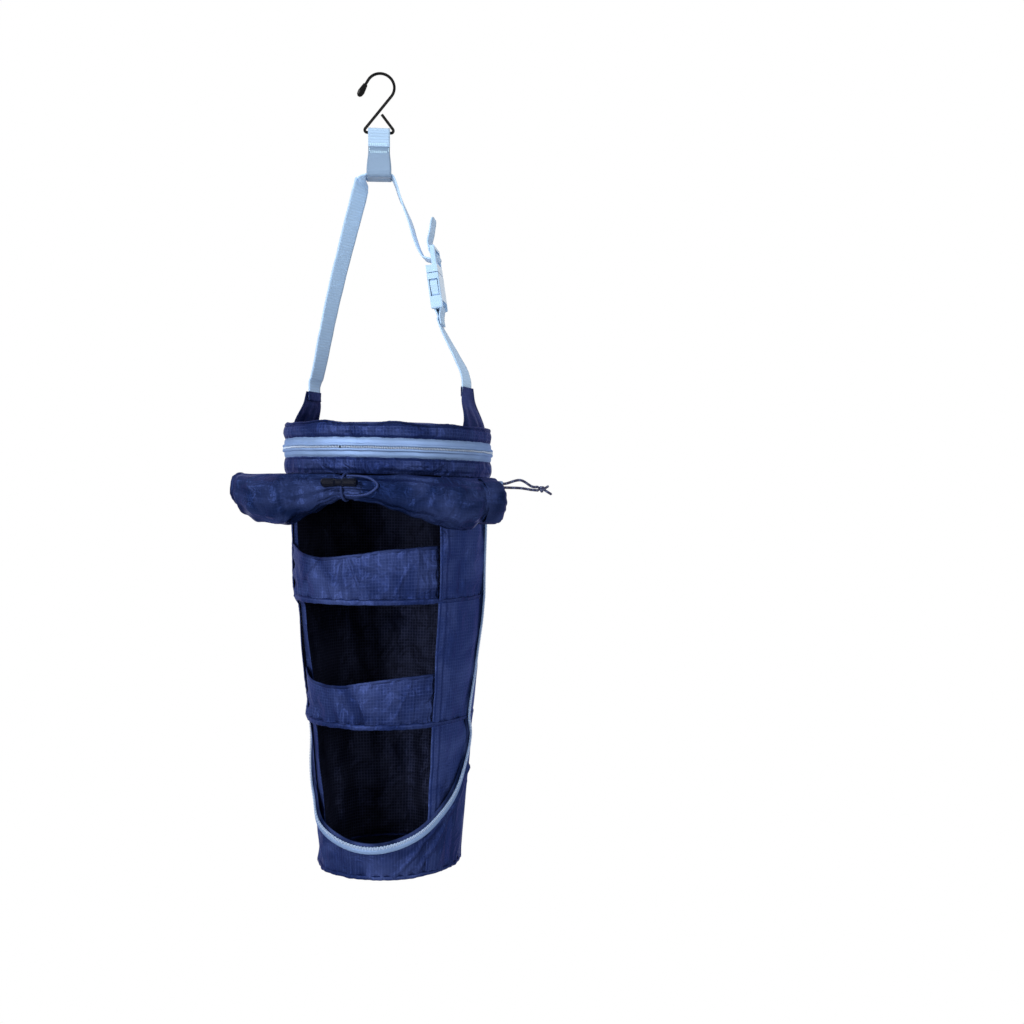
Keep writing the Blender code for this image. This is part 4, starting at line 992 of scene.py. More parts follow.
def teeth(name, route, outs, pitch, width, height, thick, material):
    """Zip teeth along a route: small humps that alternate to the two sides."""
    reach = measure(route)
    verts, faces = [], []
    for k in range(int(reach[-1] / pitch)):
        centre, at = along_route(route, reach, (k + 0.5) * pitch)
        ahead, _ = along_route(route, reach, (k + 0.5) * pitch + pitch / 2)
        run = (ahead - centre).normalized()
        out = outs[min(int(at), len(outs) - 1)]
        side = run.cross(out).normalized()
        shift = side * width * 0.12 * (1 if k % 2 else -1)
        first = len(verts)
        for across_share, lift in ((-1, 0.1), (-0.75, 0.8), (0, 1.0), (0.75, 0.8), (1, 0.1)):
            for along_share, rise in ((-1, 0.45), (0, 1.0), (1, 0.45)):
                verts.append(centre + shift + side * across_share * width / 2 + run * along_share * thick / 2
                             + out * (height * lift * rise))
        for j in range(4):
            for a in (first + 3 * j, first + 3 * j + 1):
                faces.append((a, a + 1, a + 4, a + 3))
    return raised(name, verts, faces, material)


def make_coil(material):
    """The coil's teeth between the two lips."""
    angles = [TURN * i / 240 for i in range(241)]
    route = [slump(round_point(a, CASE_R + 1.9 * MM, ZIP_MID + zip_wave(a))) for a in angles]
    settle(teeth("coil_teeth", route, [Vector((sin(a), -cos(a), 0)) for a in angles], 1.5 * MM, 1.6 * MM,
                 0.9 * MM, 0.8 * MM, material), ["zip_coil"])


def make_disc(name, node, body, material, slumped=False):
    """A round stiffened panel, padded a little between its faces."""
    low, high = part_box(node)
    reach = across(node)
    level = middle(node).z
    half = (high[2] - low[2]) / 2

    def shape(angle, v):
        inner = sin(v * pi) ** 0.35
        radius = max(TINY_R, reach * inner)
        side = 1 if v < 0.5 else -1
        thick = half * side * (1 - inner ** 14) if inner <= 0.985 else half * cos(v * pi) * 0.9
        dimple = 0.32 * MM * swell(round_point(angle, radius, side), 22.0, len(name)) * (1 - inner ** 6)
        return radius, level + thick + dimple

    settle(ring(name, 120, 40, shape, (TURN * reach, 2 * reach), material, 0, slumped), [node],
           body)


# The column
DOOR_CENTRE = 10 * DEG
DOOR_HALF = 87 * DEG
DOOR_LEFT = DOOR_CENTRE - DOOR_HALF
DOOR_RIGHT = DOOR_CENTRE + DOOR_HALF
DOOR_STRAIGHT_Z = -0.612
DOOR_BOTTOM_Z = -0.700
FASCIA_HALF = 54 * DEG
TAPE_W = 8 * MM
# Single folds: the foot's angle in degrees, lean, half width and height in millimetres
FASCIA_FOLDS = ((40, 0.05, 1.3, 2.0), (27, 0.5, 1.5, 1.8), (12, -0.4, 1.6, 1.7), (50, -0.55, 1.6, 2.2),
                (-8, 0.25, 3.0, -1.8), (-38, 0.8, 4.0, -2.4))
FRONT_FOLDS = ((30, 0.95, 3.0, 3.0), (46, 0.75, 2.6, 2.8), (62, 0.4, 2.6, 1.7), (78, 0.15, 2.2, 1.0),
               (-30, -0.5, 3.0, 1.6), (6, 0.3, 3.5, -1.6))
WALL_R = 90 * MM            # rounded radii of the column, the fascias and the front wall's foot
FASCIA_R = 88 * MM
FRONT_R = 66 * MM
PANEL_INSET = (0.0, 0.0, 1.1 * MM)
FACING_REACH = (3 * DEG, 8 * DEG, 12 * DEG)
END_GAP = GAP / (91 * MM)
FASCIA_TUCK = 1.4 * MM / (91 * MM)
LEFT_SAG = (1.6 * MM, 5.6 * MM, 4.8 * MM)
SEAM_PULL = (0.0, 2.6 * MM, 2.8 * MM, 2.0 * MM)


def door_edge(angle):
    """The height of the door's zip at an angle: a U with upright legs."""
    share = min(1.0, abs(angle - DOOR_CENTRE) / DOOR_HALF)
    return DOOR_STRAIGHT_Z - (DOOR_STRAIGHT_Z - DOOR_BOTTOM_Z) * (1 - share ** 2) ** 0.7


def on_left(angle):
    """1 on the column's left side, falling to 0 at the front and at the back."""
    angle = from_front(angle)
    return smooth(-30 * DEG, -54 * DEG, angle) * smooth(-112 * DEG, -92 * DEG, angle)


def drawn_in(angle, z):
    """How far the cloth of the left side hangs inside the straight line from seam to seam."""
    tier = tier_of(z)
    top, low = SEAMS[tier], SEAMS[tier + 1]
    held = smooth(0, 9 * MM, top - z) * smooth(0, 14 * MM, z - low)
    share = max(0.0, min(1.0, (top - z) / (top - low)))
    seam = mix(SEAM_PULL[tier], SEAM_PULL[tier + 1], share)
    return on_left(angle) * mix(seam, LEFT_SAG[tier], held)


def fold_lines(angle, rise, radius, lines):
    """The relief of single folds: each has its foot's angle, lean, half width and height."""
    out = 0.0
    for foot, lean, half_width, height in lines:
        off = ((angle - foot * DEG) * radius - lean * rise) / (half_width * MM)
        out += height * MM * exp(-off * off)
    return out


def wall_relief(angle, z, top, low, seed, strength):
    """How far a wall's cloth stands off its plain cone: puckers at both seams, soft folds between."""
    share = (top - z) / (top - low)
    near = exp(-(top - z) / SEAM_FADE) + exp(-(z - low) / SEAM_FADE)
    held = min(1.0, sin(pi * min(1.0, max(0.0, share))) ** 0.6 + 0.12)
    puckers = 1.0 * MM * near * pucker(angle, WALL_R, 5 * MM, seed)
    folds = 1.9 * MM * held * pucker(angle + 0.2 * share, WALL_R, 17 * MM, seed + 4, share * 0.9)
    soft = 1.6 * MM * held * pucker(angle - 0.3 * share, WALL_R, 34 * MM, seed + 7, share * 0.6)
    crease = 0.9 * MM * held * ridge(round_point(angle, WALL_R, z * 0.7), 34.0, seed)
    return strength * (puckers + folds + soft + crease * 0.7)


def make_wall(name, node, tier, angles, material, seed, lining, strength=1.0, folded=0):
    """A strip of one tier's wall between two angles, hung from one seam to the next, with the
    lining on its inside. folded is the side of its folded front edge, 1 for its start."""
    top, low = heights(node)
    inset = PANEL_INSET[tier] if folded else 0.0
    start, end = angles
    width = (end - start) * column_radius((top + low) / 2)

    def place(u, v):
        angle = mix(start, end, u)
        z = mix(top + SEAM_LAP, low - SEAM_LAP, v)
        relief = wall_relief(angle, z, top, low, seed, strength) - drawn_in(angle, z)
        if folded:
            from_edge = (u if folded > 0 else 1 - u) * width
            relief += 0.9 * MM * (1 - smooth(7.0 * MM, 8.4 * MM, from_edge))
            near = exp(-((from_edge - 7.6 * MM) / (2.6 * MM)) ** 2)
            relief += 0.55 * MM * near * noise.noise(Vector((seed, z / (2.2 * MM), 0.3)))
        return slump(round_point(angle, column_radius(z) - inset + relief, z))

    item = surface(name, max(16, int(width / (1.5 * MM))), int((top - low) / (1.9 * MM)), place,
                   (width, top - low), material, inner=lining)
    settle(item, [node], tier=tier)


def make_walls(lining, navy, side):
    """The back wall and the two side panels of each tier. The left panels' folded front edges
    reach a little behind the fascias."""
    for tier in range(3):
        number = tier + 1
        make_wall("back_cloth_%d" % number, "back_wall_%d" % number, tier,
                  (DOOR_RIGHT, DOOR_LEFT + TURN), navy, number * 5.0, lining)
        make_wall("side_cloth_right_%d" % number, "side_panel_right_%d" % number, tier,
                  (FASCIA_HALF + END_GAP, DOOR_RIGHT - END_GAP), side, number * 3.0 + 1, lining, 1.0, 1)
        make_wall("side_cloth_left_%d" % number, "side_panel_left_%d" % number, tier,
                  (DOOR_LEFT + END_GAP, -FASCIA_HALF - END_GAP), navy, number * 3.0 + 2, lining, 0.5, -1)
    for tier in range(3):
        make_facing(tier, navy, lining)


def make_facing(tier, material, lining):
    """The left panel's folded edge, turned in behind the fascia of its tier."""
    top, low = heights("side_panel_left_%d" % (tier + 1))
    reach = FACING_REACH[tier]

    def place(u, v):
        z = mix(top, low, v)
        angle = -FASCIA_HALF - 0.03 * (1 - u) + u * reach * mix(0.7, 1.0, v)
        wave = 0.8 * MM * swell(Vector((u, z * 26, tier)), 1.0) * u
        fall = (PANEL_INSET[tier] + 1.0 * MM) * (1 - u) + 3.2 * MM * u + drawn_in(-FASCIA_HALF, z)
        return slump(round_point(angle, column_radius(z) - fall + wave, z))

    settle(surface("side_facing_%d" % (tier + 1), 10, 40, place, (reach * 80 * MM, top - low), material,
                   inner=lining), tier=tier)


def make_hem(name, node, body, material, seed, lip):
    """A floor's bound seam: a flat tape, as tall as lip under the fascia and narrow at the sides
    and the back, where it only shows as a stitched welt."""
    reach = across(node) - HEM_R
    level = middle(node).z
    pull = SEAM_PULL[BODIES.index(body)]

    def shape(angle, v):
        up, out = sin(TURN * v), cos(TURN * v)
        front = 1 - smooth(FASCIA_HALF - 2 * DEG, FASCIA_HALF + 3 * DEG, abs(from_front(angle)))
        tall = mix(1.5 * MM, lip, front) * (1 + 0.1 * pucker(angle, reach, 5 * MM, seed))
        thick = mix(0.75 * MM, 0.95 * MM, front)
        wobble = 0.4 * MM * pucker(angle, reach, 12 * MM, seed + 2)
        belly = 0.45 * MM * pucker(angle, reach, 4.5 * MM, seed + 4) * (1 - 0.5 * up)
        up = copysign(abs(up) ** 0.6, up)
        out = abs(out) ** 0.8 * (1.0 if out > 0 else -3.6)
        return (reach + 0.5 * MM - pull * on_left(angle) + thick * out + belly,
                level + wobble + tall * up)

    settle(ring(name, 480, 16, shape, (TURN * reach, 4 * lip), material, 0, False), [node],
           body)


def make_fascia(number, material, binding, seed):
    """The gathered front wall of one shelf: a dipped top edge with a narrow hem, a belly, and
    gathers that start at the seam and fade on their way up."""
    node, body = "fascia_%d" % number, BODIES[number]
    top, low = heights(node)
    height = top - low
    dip = 9.5 * MM
    half = FASCIA_HALF + FASCIA_TUCK

    def sideways(angle):
        return max(-1.0, min(1.0, angle / FASCIA_HALF))

    def edge_z(angle):
        x = sideways(angle)
        free = cos((x + 0.3 * (1 - x ** 2)) * pi / 2) ** 1.6
        return low + height - dip * free + 0.9 * MM * pucker(angle, FASCIA_R, 20 * MM, seed) * cos(x * pi / 2)

    def radius(angle, z, share):
        x = sideways(angle)
        free = cos(x * pi / 2)
        rise = 1 - share
        bulge = sin(share * pi)
        gathers = 1.5 * MM * free * sin(angle * 31 + 1.6 * sin(angle * 9) + rise) * share ** 1.6
        fine = 1.0 * MM * pucker(angle, FASCIA_R, 4.2 * MM, seed + 6, share) * share ** 3
        hung = 1.5 * MM * smooth(-0.3, 0.2, x) * pucker(angle, FASCIA_R, 5.5 * MM, seed + 8, share)
        hung *= exp(-share * height / (11 * MM)) * smooth(0.0, 0.06, share)
        ends = exp(-(half - abs(angle)) * FASCIA_R / (11 * MM)) * smooth(0.1, 0.4, share)
        drawn = 1.6 * MM * ends * sin(share * 17 + 2.2 * angle) * smooth(0, 0.012, half - abs(angle))
        dent = -3.4 * MM * exp(-((x + 0.55) / 0.2) ** 2 - ((share - 0.75) / 0.22) ** 2)
        soft = 2.3 * MM * free * pucker(angle + rise * 0.25, FASCIA_R, 17 * MM, seed + 3, rise * 0.9)
        vee = 0.91 * MM * free * bulge * ridge(round_point(angle * 1.3 + rise * 0.5, 80 * MM, z * 1.6), 24.0,
                                               seed)
        lines = fold_lines(angle, z - low, FASCIA_R, FASCIA_FOLDS) * free * bulge ** 0.5
        tuck = 1.7 * MM * smooth(FASCIA_HALF - 0.024, FASCIA_HALF - 0.004, abs(angle)) + drawn_in(angle, z)
        return (column_radius(z) + gathers + fine + hung + drawn + 2.0 * MM * free * bulge + dent + soft + vee
                + lines - tuck)

    def place(u, v):
        angle = mix(-half, half, u)
        z = mix(edge_z(angle), low, v)
        return round_point(angle, radius(angle, z, v), z)

    def binding_place(u, v):
        angle = mix(-half, half, u)
        z = edge_z(angle)
        bead = 0.9 * MM * (1 + 0.15 * pucker(angle, FASCIA_R, 2.5 * MM, seed + 1))
        return round_point(angle, radius(angle, z, 0.0) + bead * cos(TURN * v) * 0.8,
                           z - 0.8 * MM + bead * 1.7 * sin(TURN * v))

    width = 2 * half * column_radius(SEAMS[number] + height / 2)
    item = surface("fascia_cloth_%d" % number, 220, 44, place, (width, height - dip / 2), material)
    settle(item, [node], body)
    edge = surface("fascia_cloth_%d_hem" % number, 150, 10, binding_place, (width, 6 * MM), binding,
                   thickness=0)
    settle(edge, body=body)
    for piece in (item, edge):
        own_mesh(piece)


def make_front_wall(material):
    """The wall below the door's zip, with upright folds at its right and soft creases."""
    half = DOOR_HALF - 2 * GAP / FRONT_R
    top, low = heights("front_wall")

    def place(u, v):
        angle = DOOR_CENTRE + half * mix(-1, 1, u)
        edge = door_edge(angle)
        z = mix(edge + 1.5 * MM, low - SEAM_LAP, v)
        free = sin(pi * v) ** 0.7
        side = smooth(10 * DEG, 60 * DEG, angle)
        turned = angle + 0.25 * v * (0.4 - side)
        folds = (1.8 + 2.2 * side) * MM * free * pucker(turned, 72 * MM, 13 * MM, 31.0, v * 0.4)
        crease = 1.3 * MM * free * ridge(round_point(angle, FRONT_R, z * 0.9), 40.0, 9.0)
        hem = 1.1 * MM * exp(-(z - low) / (6 * MM)) * pucker(angle, FRONT_R, 4.2 * MM, 13.0)
        tuck = 0.9 * MM * exp(-(edge - z) / (5 * MM)) * pucker(angle, 70 * MM, 5 * MM, 17.0)
        seam = -0.9 * MM * exp(-((angle + 4 * DEG) * 68 * MM / (0.9 * MM)) ** 2)
        sag = 0.9 * MM * smooth(0.8, 1.0, v) * pucker(angle, FRONT_R, 12 * MM, 41.0)
        lines = fold_lines(angle, z - low, 70 * MM, FRONT_FOLDS) * free
        out = folds + lines + crease * 0.7 + hem + tuck + seam - drawn_in(angle, z)
        return round_point(angle, column_radius(z) + out, z + sag * (1 - v))

    width = 2 * half * 70 * MM
    whole = width * (top - low)
    item = surface("front_cloth", 190, 46, place, (width, top - low), material)
    settle(item, ["front_wall"], tier=2)
    angles = [DOOR_CENTRE + half * (2 * (i + 0.5) / 60 - 1) for i in range(60)]
    area = sum(door_edge(angle) - low for angle in angles) * width / 60
    min(max(area, 0.31 * whole), whole)


def door_line():
    """The door's zip from its left leg's top, round the U to the right leg's top: points as
    angle and height, close together."""
    legs = [mix(CASE_BOTTOM - 1 * MM, DOOR_STRAIGHT_Z, i / 90) for i in range(90)]
    line = [(DOOR_LEFT - 3 * DEG * smooth(DOOR_STRAIGHT_Z, DOOR_STRAIGHT_Z + 47 * MM, z), z) for z in legs]
    line += [(angle, door_edge(angle)) for angle in (mix(DOOR_LEFT, DOOR_RIGHT, i / 160) for i in range(161))]
    line += [(DOOR_RIGHT - 6 * DEG * exp(-((z - DOOR_STRAIGHT_Z - 26 * MM) / (34 * MM)) ** 2)
              * smooth(DOOR_STRAIGHT_Z, DOOR_STRAIGHT_Z + 20 * MM, z), z) for z in reversed(legs)]
    return line


def tape_place(line, k, offset, lift):
    """A point of the door's tape: offset to the side of its line, and lift off the cloth."""
    angle, z = line[k]
    a0, z0 = line[max(k - 2, 0)]
    a1, z1 = line[min(k + 2, len(line) - 1)]
    radius = column_radius(z) - drawn_in(angle, z)
    run = Vector(((a1 - a0) * radius, z1 - z0)).normalized()
    side = Vector((-run.y, run.x)) * offset
    wave = 0.9 * MM * swell(Vector((angle * 2.2, z * 22, 4.0)), 1.0)
    outside = HEM_R + 2 * GAP + 0.5 * MM
    return round_point(angle + side.x / radius, radius + outside + wave + lift, z + side.y)


def tier_of(z):
    """The tier that a height belongs to."""
    return 0 if z > SEAMS[1] else 1 if z > SEAMS[2] else 2


def make_door_tape(tape_material, teeth_material, shadow_flap_material):
    """The door's zip tape, its row of teeth and a dark strip along the tape's inner edge that is painted
    shadow, split at the seams' heights into one set of pieces for each tier."""
    line = door_line()
    tape_w = TAPE_W - 2 * MM
    tiers = [tier_of(z) for _, z in line]
    cuts = [0] + [k for k in range(1, len(line)) if tiers[k] != tiers[k - 1]] + [len(line) - 1]
    parts = [([], [], []) for _ in range(3)]
    for start, end in zip(cuts, cuts[1:]):
        count = end - start

        def place(u, v, start=start, count=count):
            return slump(tape_place(line, start + round(v * count), (u - 0.5) * tape_w - 1 * MM,
                                    0.45 * MM * (1 - abs(2 * u - 1) ** 4)))

        # The flap is a dark strip beside the tape's inner edge: painted shadow.
        def flap_place(u, v, start=start, count=count):
            return slump(tape_place(line, start + round(v * count), tape_w / 2 - 1.6 * MM + u * 3.4 * MM,
                                    -(0.5 + 1.6 * u) * MM))

        length = measure([tape_place(line, k, 0, 0) for k in range(start, end + 1)])[-1]
        route = [slump(tape_place(line, k, TAPE_W * 0.14, 0.9 * MM)) for k in range(start, end + 1)]
        outs = [Vector((sin(angle), -cos(angle), 0)) for angle, _ in line[start:end + 1]]
        tape, flap, chain = parts[tiers[(start + end) // 2]]
        tape.append(surface("tape", 8, count, place, (tape_w, length), tape_material, thickness=0.6 * MM))
        flap.append(surface("flap", 4, count, flap_place, (3.4 * MM, length), shadow_flap_material,
                            thickness=0.4 * MM))
        chain.append(teeth("chain", route, outs, 1.5 * MM, 2.6 * MM, 1.0 * MM, 1.0 * MM, teeth_material))
    for tier, piles in enumerate(parts):
        for name, slot, pile in zip(("tape", "flap", "teeth"), ("zip_tape", "navy_nylon", "zip_coil"), piles):
            nodes = ["door_zip_tape"] if (name, tier) == ("tape", 0) else ()
            settle(merge("door_%s_%d" % (name, tier + 1), pile), nodes, tier=tier)


# The rolled-up door
ROLL_LEFT = 93.5 * MM
ROLL_BEND = 50 * DEG
ROLL_RIGHT = 44.5 * MM
ROLL_R = 21.5 * MM
ROLL_WAIST = 0.46
ROLL_WAIST_AT = 0.436
WAIST_HALF = 0.035
CUFF_FROM = 0.85
CUFF_R_SHARE = 0.84
CUFF_WALL = 1.2 * MM
CUFF_L = 18 * MM
TIE_R = 1.1 * MM
# The tie's bight: shares of the roll's length from its waist, and degrees round the roll
BIGHT = ((0.017, 54), (0.056, 53), (0.1, 44), (0.13, 14), (0.1, -18), (0.06, -32), (0.017, -34))
ROLL_TOP_Z = -0.3756
ROLL_CLEAR = 0.3 * MM
COLUMN_TOP_R = SEAM_R[0]
ROLL_BEND_L = ROLL_BEND * (COLUMN_TOP_R + ROLL_R)
ROLL_LENGTH = ROLL_LEFT + ROLL_BEND_L + ROLL_RIGHT
ROLL_SHAPE = ((0.0, 0.6), (0.04, 0.8), (0.11, 0.95), (0.2, 1.0), (0.3, 0.75), (0.36, 0.56),
              (ROLL_WAIST_AT - WAIST_HALF, ROLL_WAIST), (ROLL_WAIST_AT + WAIST_HALF, ROLL_WAIST),
              (0.55, 0.5), (0.63, 0.63), (0.71, 0.76), (0.79, 0.9), (CUFF_FROM, 1.0),
              (CUFF_FROM + 0.045, 1.0), (CUFF_FROM + 0.1, CUFF_R_SHARE), (1.0, CUFF_R_SHARE))


# The scale round the roll, the shift and the scale along it of its fine, middle, big and sharp folds
ROLL_NOISE = ((3.4, 0, 0, 9), (1.9, 3.3, 1.2, 14), (0.9, 7.1, 0.3, 17), (1.5, 1.7, 5.2, 26))


def roll_radius(share):
    """The roll's radius, drawn in where it is tied."""
    for (s0, r0), (s1, r1) in zip(ROLL_SHAPE, ROLL_SHAPE[1:]):
        if share <= s1:
            t = (share - s0) / (s1 - s0)
            return ROLL_R * mix(r0, r1, t * t * (3 - 2 * t))
    return ROLL_R * ROLL_SHAPE[-1][1]


def roll_frame(share):
    """The roll's centre, and the directions outwards and along it: straight on the left of the
    axis, then round the column, and straight again on the right."""
    radius = roll_radius(share)
    tied = 1 - min(1.0, abs(radius / ROLL_R - ROLL_WAIST) * 4)
    cuffed = min(1.0, max(0.0, (share - CUFF_FROM) * 10)) * (CUFF_WALL + GAP)
    reach = COLUMN_TOP_R + ROLL_CLEAR + tied * (2 * TIE_R + 2 * GAP) + cuffed + radius
    place = share * ROLL_LENGTH
    bent = min(max(place - ROLL_LEFT, 0.0), ROLL_BEND_L)
    angle = bent / (COLUMN_TOP_R + ROLL_R)
    outward = Vector((sin(angle), -cos(angle), 0))
    along = Vector((cos(angle), sin(angle), 0))
    centre = round_point(angle, reach, ROLL_TOP_Z - cuffed - radius) + along * (place - ROLL_LEFT - bent)
    return centre, outward, along


def roll_point(share, around, lift):
    """A point above the roll's skin: around is measured from outwards towards up."""
    centre, outward, _ = roll_frame(share)
    return centre + (outward * cos(around) + UP * sin(around)) * (roll_radius(share) + lift)


def roll_relief(share, around):
    """The roll's folds: pleats that run out from the tie and into the cuff, and loose billows."""
    length = share * ROLL_LENGTH
    to_tie = abs(share - ROLL_WAIST_AT)
    pleats = exp(-max(0.0, to_tie - WAIST_HALF) / 0.11)
    to_cuff = exp(-abs(share - 0.9) / 0.06)
    across_roll = Vector((cos(around), sin(around), 0))
    fine, folds, big, sharp = (noise.noise(across_roll * scale + Vector((x, y, length * along)))
                               for scale, x, y, along in ROLL_NOISE)
    return MM * (pleats * (3.0 * fine + 0.8 * cos(around * 9 + 2 * fine))
                 + to_cuff * (1.8 * fine + 0.7 * cos(around * 11)) + 1.7 * folds * (1 - 0.5 * pleats)
                 + (2.1 * big + 2.6 * (0.4 - abs(sharp))) * smooth(0.1, 0.24, to_tie))


def make_roll(material, hem_material):
    """The door's roll: its outer turn ends in a hemmed edge that runs along the underside, and
    its layers show at the left end."""
    girth = TURN * ROLL_R

    def skin(share, around):
        relief = roll_relief(share, around) * (1 - 0.6 * (1 - smooth(0.0, 0.05, share)))
        limit = 1.5 * MM if abs(share - ROLL_WAIST_AT) > WAIST_HALF else -0.3 * MM
        under = from_front(around)
        flap = 1.2 * MM * smooth(-2.55, -1.95, under) * (1 - smooth(-1.95, -1.9, under))
        return slump(roll_point(share, around, min(relief, limit) + flap))

    def place(u, v):
        return skin(v * 0.995, TURN * u)

    def end_place(u, v):
        around = TURN * u * 3 + 0.5
        centre, outward, along = roll_frame(0.0)
        out = outward * cos(around) + UP * sin(around)
        depth = mix(-1.5 * MM - 1.2 * MM * u, 22 * MM, v)
        wobble = 0.8 * MM * noise.noise(out * 1.5 + Vector((0, 0, u * 3)))
        return slump(centre + out * (mix(0.97, 0.3, u) * roll_radius(0.0) + wobble) + along * depth)

    def hem_place(u, v):
        point = skin(0.0, TURN * u)
        centre, _, along = roll_frame(0.0)
        out = point - slump(centre)
        out = (out - along * out.dot(along)).normalized()
        bead = 1.3 * MM * (1 + 0.18 * noise.noise(out * 4.0))
        return point + (out * cos(TURN * v) * 0.8 + along * sin(TURN * v) * 2.0) * bead + along * 1.2 * MM

    settle(surface("door_rolled", 120, 200, place, (girth, ROLL_LENGTH), material, closed=True,
                   thickness=0.8 * MM), ["door_roll"])
    settle(surface("door_layers", 150, 10, end_place, (girth * 1.8, 24 * MM), material, thickness=0.8 * MM))
    settle(surface("roll_left_hem", 90, 10, hem_place, (girth, 8 * MM), hem_material, closed=True,
                   thickness=0))


def make_cuff(material):
    """The cuff round the roll's right end, drawn up on an elastic edge."""
    end, outward, along = roll_frame(1.0)
    cuff_r = roll_radius(1.0) + GAP + CUFF_WALL / 2

    def place(u, v):
        around = TURN * u
        spot = Vector((cos(around), sin(around), v * 0.4))
        pleat = 0.55 * MM * cos(around * 13 + 2 * noise.noise(spot * 2)) * (0.4 + 0.6 * v)
        soft = 1.3 * MM * noise.noise(spot * 1.8)
        draw = -2.2 * MM * smooth(0.8, 1.0, v) + 0.9 * MM * sin(pi * v)
        centre = end + along * mix(-0.6, 0.4, v) * CUFF_L
        return slump(centre + (outward * cos(around) + UP * sin(around)) * (cuff_r + pleat + soft + draw))

    settle(surface("door_cuff", 160, 20, place, (TURN * cuff_r, CUFF_L), material, closed=True,
                   thickness=0.9 * MM), ["roll_cuff"])


def make_tie(cord):
    """The elastic tie round the roll's waist, and its bight over the toggle."""
    waist = [roll_point(ROLL_WAIST_AT, TURN * i / 48, GAP + TIE_R) for i in range(48)]
    settle(tube("tie_cord", [slump(p) for p in waist], TIE_R, cord, closed=True), ["roll_tie"])
    bight = smooth_route([roll_point(ROLL_WAIST_AT + s, a * DEG, 3 * GAP + TIE_R) for s, a in BIGHT], 8)
    settle(tube("tie_loop", [slump(p) for p in bight], TIE_R, cord), ["tie_bight"])


def make_carry_loop(web):
    """The carry loop on the back of the base: flat down both legs, turned at the fold."""
    leg = (WEB_W + 8 * MM) / 2
    straight = 34 * MM - leg
    start = Vector((AXIS.x, AXIS.y + across("base_hem") + GAP + STRAP_T / 2, middle("base_hem").z + 1 * MM))
    turns = [pi * i / 32 for i in range(33)]
    route = [Vector((-leg, 0, -straight * i / 8)) for i in range(8)]
    route += [Vector((-leg * cos(a), 0, -straight - leg * sin(a))) for a in turns]
    route += [Vector((leg, 0, straight * i / 8 - straight)) for i in range(1, 9)]
    sides = [RIGHT] * 8 + [(RIGHT * cos(a) - FRONT * sin(a) * 1.2).normalized() for a in turns] + [-RIGHT] * 8
    settle(strip("loop_webbing", [start + p for p in route], sides, WEB_W, web, step=1.0 * MM),
           ["carry_loop"], "carry")


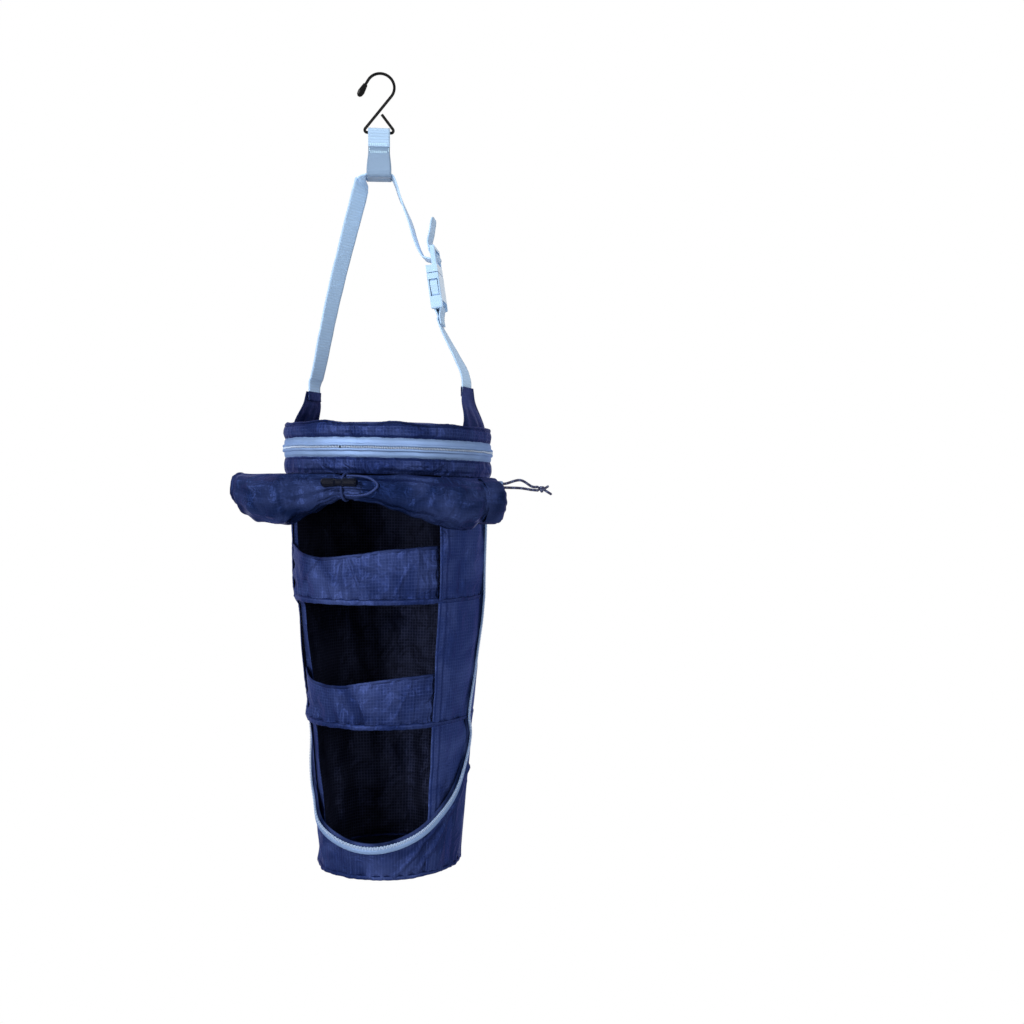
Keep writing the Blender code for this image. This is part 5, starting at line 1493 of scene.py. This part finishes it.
def main():
    """Builds the scene."""
    make_camera()
    make_studio()
    make_pull_cord(braid("navy_braid", CORD, (0.16, 0.2, 0.36)))

    web = webbing("blue_webbing", times(WEBBING, 0.84))
    strap = webbing("strap_webbing", WEBBING, ribs=0.5)
    shaded = webbing("shaded_webbing", SHADED_WEBBING, 1.2 * MM)
    slate = webbing("slate_webbing", SLATE)
    navy = cloth("navy_nylon", NAVY)
    # The gussets are painted darker than the navy: painted shade.
    gusset = cloth("gusset_nylon_shaded", times(NAVY, 0.66), grid=0.4, creases=0.6)
    side = cloth("side_nylon", times(NAVY, 1.35), seams_u=(2.2 * MM, 8.5 * MM), seams_v=(1.5 * MM,))
    lining = cloth("dark_lining", LINING, LINING_GLEAM, grid=2.2, line=0.26, creases=0.7, roughness=0.5)
    band = cloth("band_nylon", NAVY, seams_v=(2.0 * MM, 11.2 * MM), creases=1.3)
    lip = cloth("lip_nylon", NAVY, grid=0.6, creases=0.6, seams_v=(1.4 * MM,))
    # The rolled door is painted darker than the walls' navy: painted shade.
    rolled = cloth("rolled_nylon_shaded", DEEP_NAVY, grid=0.25, creases=1.2, roughness=0.36)
    # The cuff's still darker navy, also the door's flap, where it is painted shadow.
    dark = cloth("cuff_and_shadow_nylon", times(DEEP_NAVY, 0.75), grid=0.1, creases=0.6)
    hem = cloth("hem_nylon", times(NAVY, 0.7), grid=0.0, creases=0.3)
    # The tapes' gleam colour is a painted sheen, as the cloth's is.
    tape_look = {"gleam": times(ZIP_BLUE, 1.5, 0.02), "grid": 0.0, "creases": 0.15, "roughness": 0.5}
    tape = cloth("zip_tape", ZIP_BLUE, seams_v=(1.9 * MM,), **tape_look)
    door_tape = cloth("door_zip_tape", ZIP_BLUE, seams_u=(1.3 * MM,), **tape_look)
    coil = plastic("zip_teeth", (0.52, 0.63, 0.8), 0.3)
    door_coil = plastic("door_zip_teeth", (0.32, 0.42, 0.6), 0.35)
    acetal = plastic("pale_acetal", BUCKLE, 0.28, coat=0.35)
    vinyl = plastic("black_vinyl", BLACK, 0.24, specular=0.1)
    toggle = plastic("toggle_plastic", TOGGLE, 0.3, specular=0.05)
    coated = metal("coated_wire", BLACK, 0.26, 0.0, 0.2)
    zinc = metal("painted_zinc", ZIP_BLUE, 0.3, 0.35)
    thread = plastic("pale_thread", times(WEBBING, 1.15), 0.6)
    stretch = elastic("navy_elastic", DEEP_NAVY)

    for material, nodes in ((coated, ("s_hook", "rim_hoop", "floor_hoop")), (vinyl, ("hook_tip_cap",)),
                            (toggle, ("toggle_bar",)),
                            (acetal, ("buckle_male", "buckle_female", "buckle_prong_front",
                                      "buckle_prong_back")),
                            (zinc, ("top_zip_slider", "top_zip_pull", "door_zip_slider"))):
        for node in nodes:
            worn = frame["nodes"][node].data.materials
            worn.clear()
            worn.append(material)

    make_straps(strap, thread, make_tab(web, shaded, thread))
    make_anchor("anchor_left", -1, gusset)
    make_anchor("anchor_right", 1, gusset)
    make_cover(navy)
    make_rim(hem)
    make_band("case_band_upper", RIM_Z, ZIP_TOP, band, "upper_band", 1.0, 0.8, 1.0)
    make_band("case_band_lower", ZIP_BOTTOM, CASE_BOTTOM, band, "lower_band", 0.8, 1.0, 12.0)
    make_zip_tape("tape_upper", "zip_tape_upper", 1, tape)
    make_zip_tape("tape_lower", "zip_tape_lower", -1, tape)
    make_coil(coil)
    make_disc("case_floor_panel", "case_floor", "case", lining, slumped=True)
    make_walls(lining, navy, side)
    for body, tall in zip(BODIES[1:], (2.6 * MM, 2.6 * MM, 2.0 * MM)):
        make_disc(body + "_panel", body + "_floor", body, lining)
        make_hem(body + "_binding", body + "_hem", body, lip, len(body), tall)
    make_fascia(1, navy, hem, 2.0)
    make_fascia(2, navy, hem, 6.0)
    make_front_wall(navy)
    make_door_tape(door_tape, door_coil, dark)
    make_roll(rolled, hem)
    make_cuff(dark)
    make_tie(stretch)
    make_carry_loop(slate)


main()
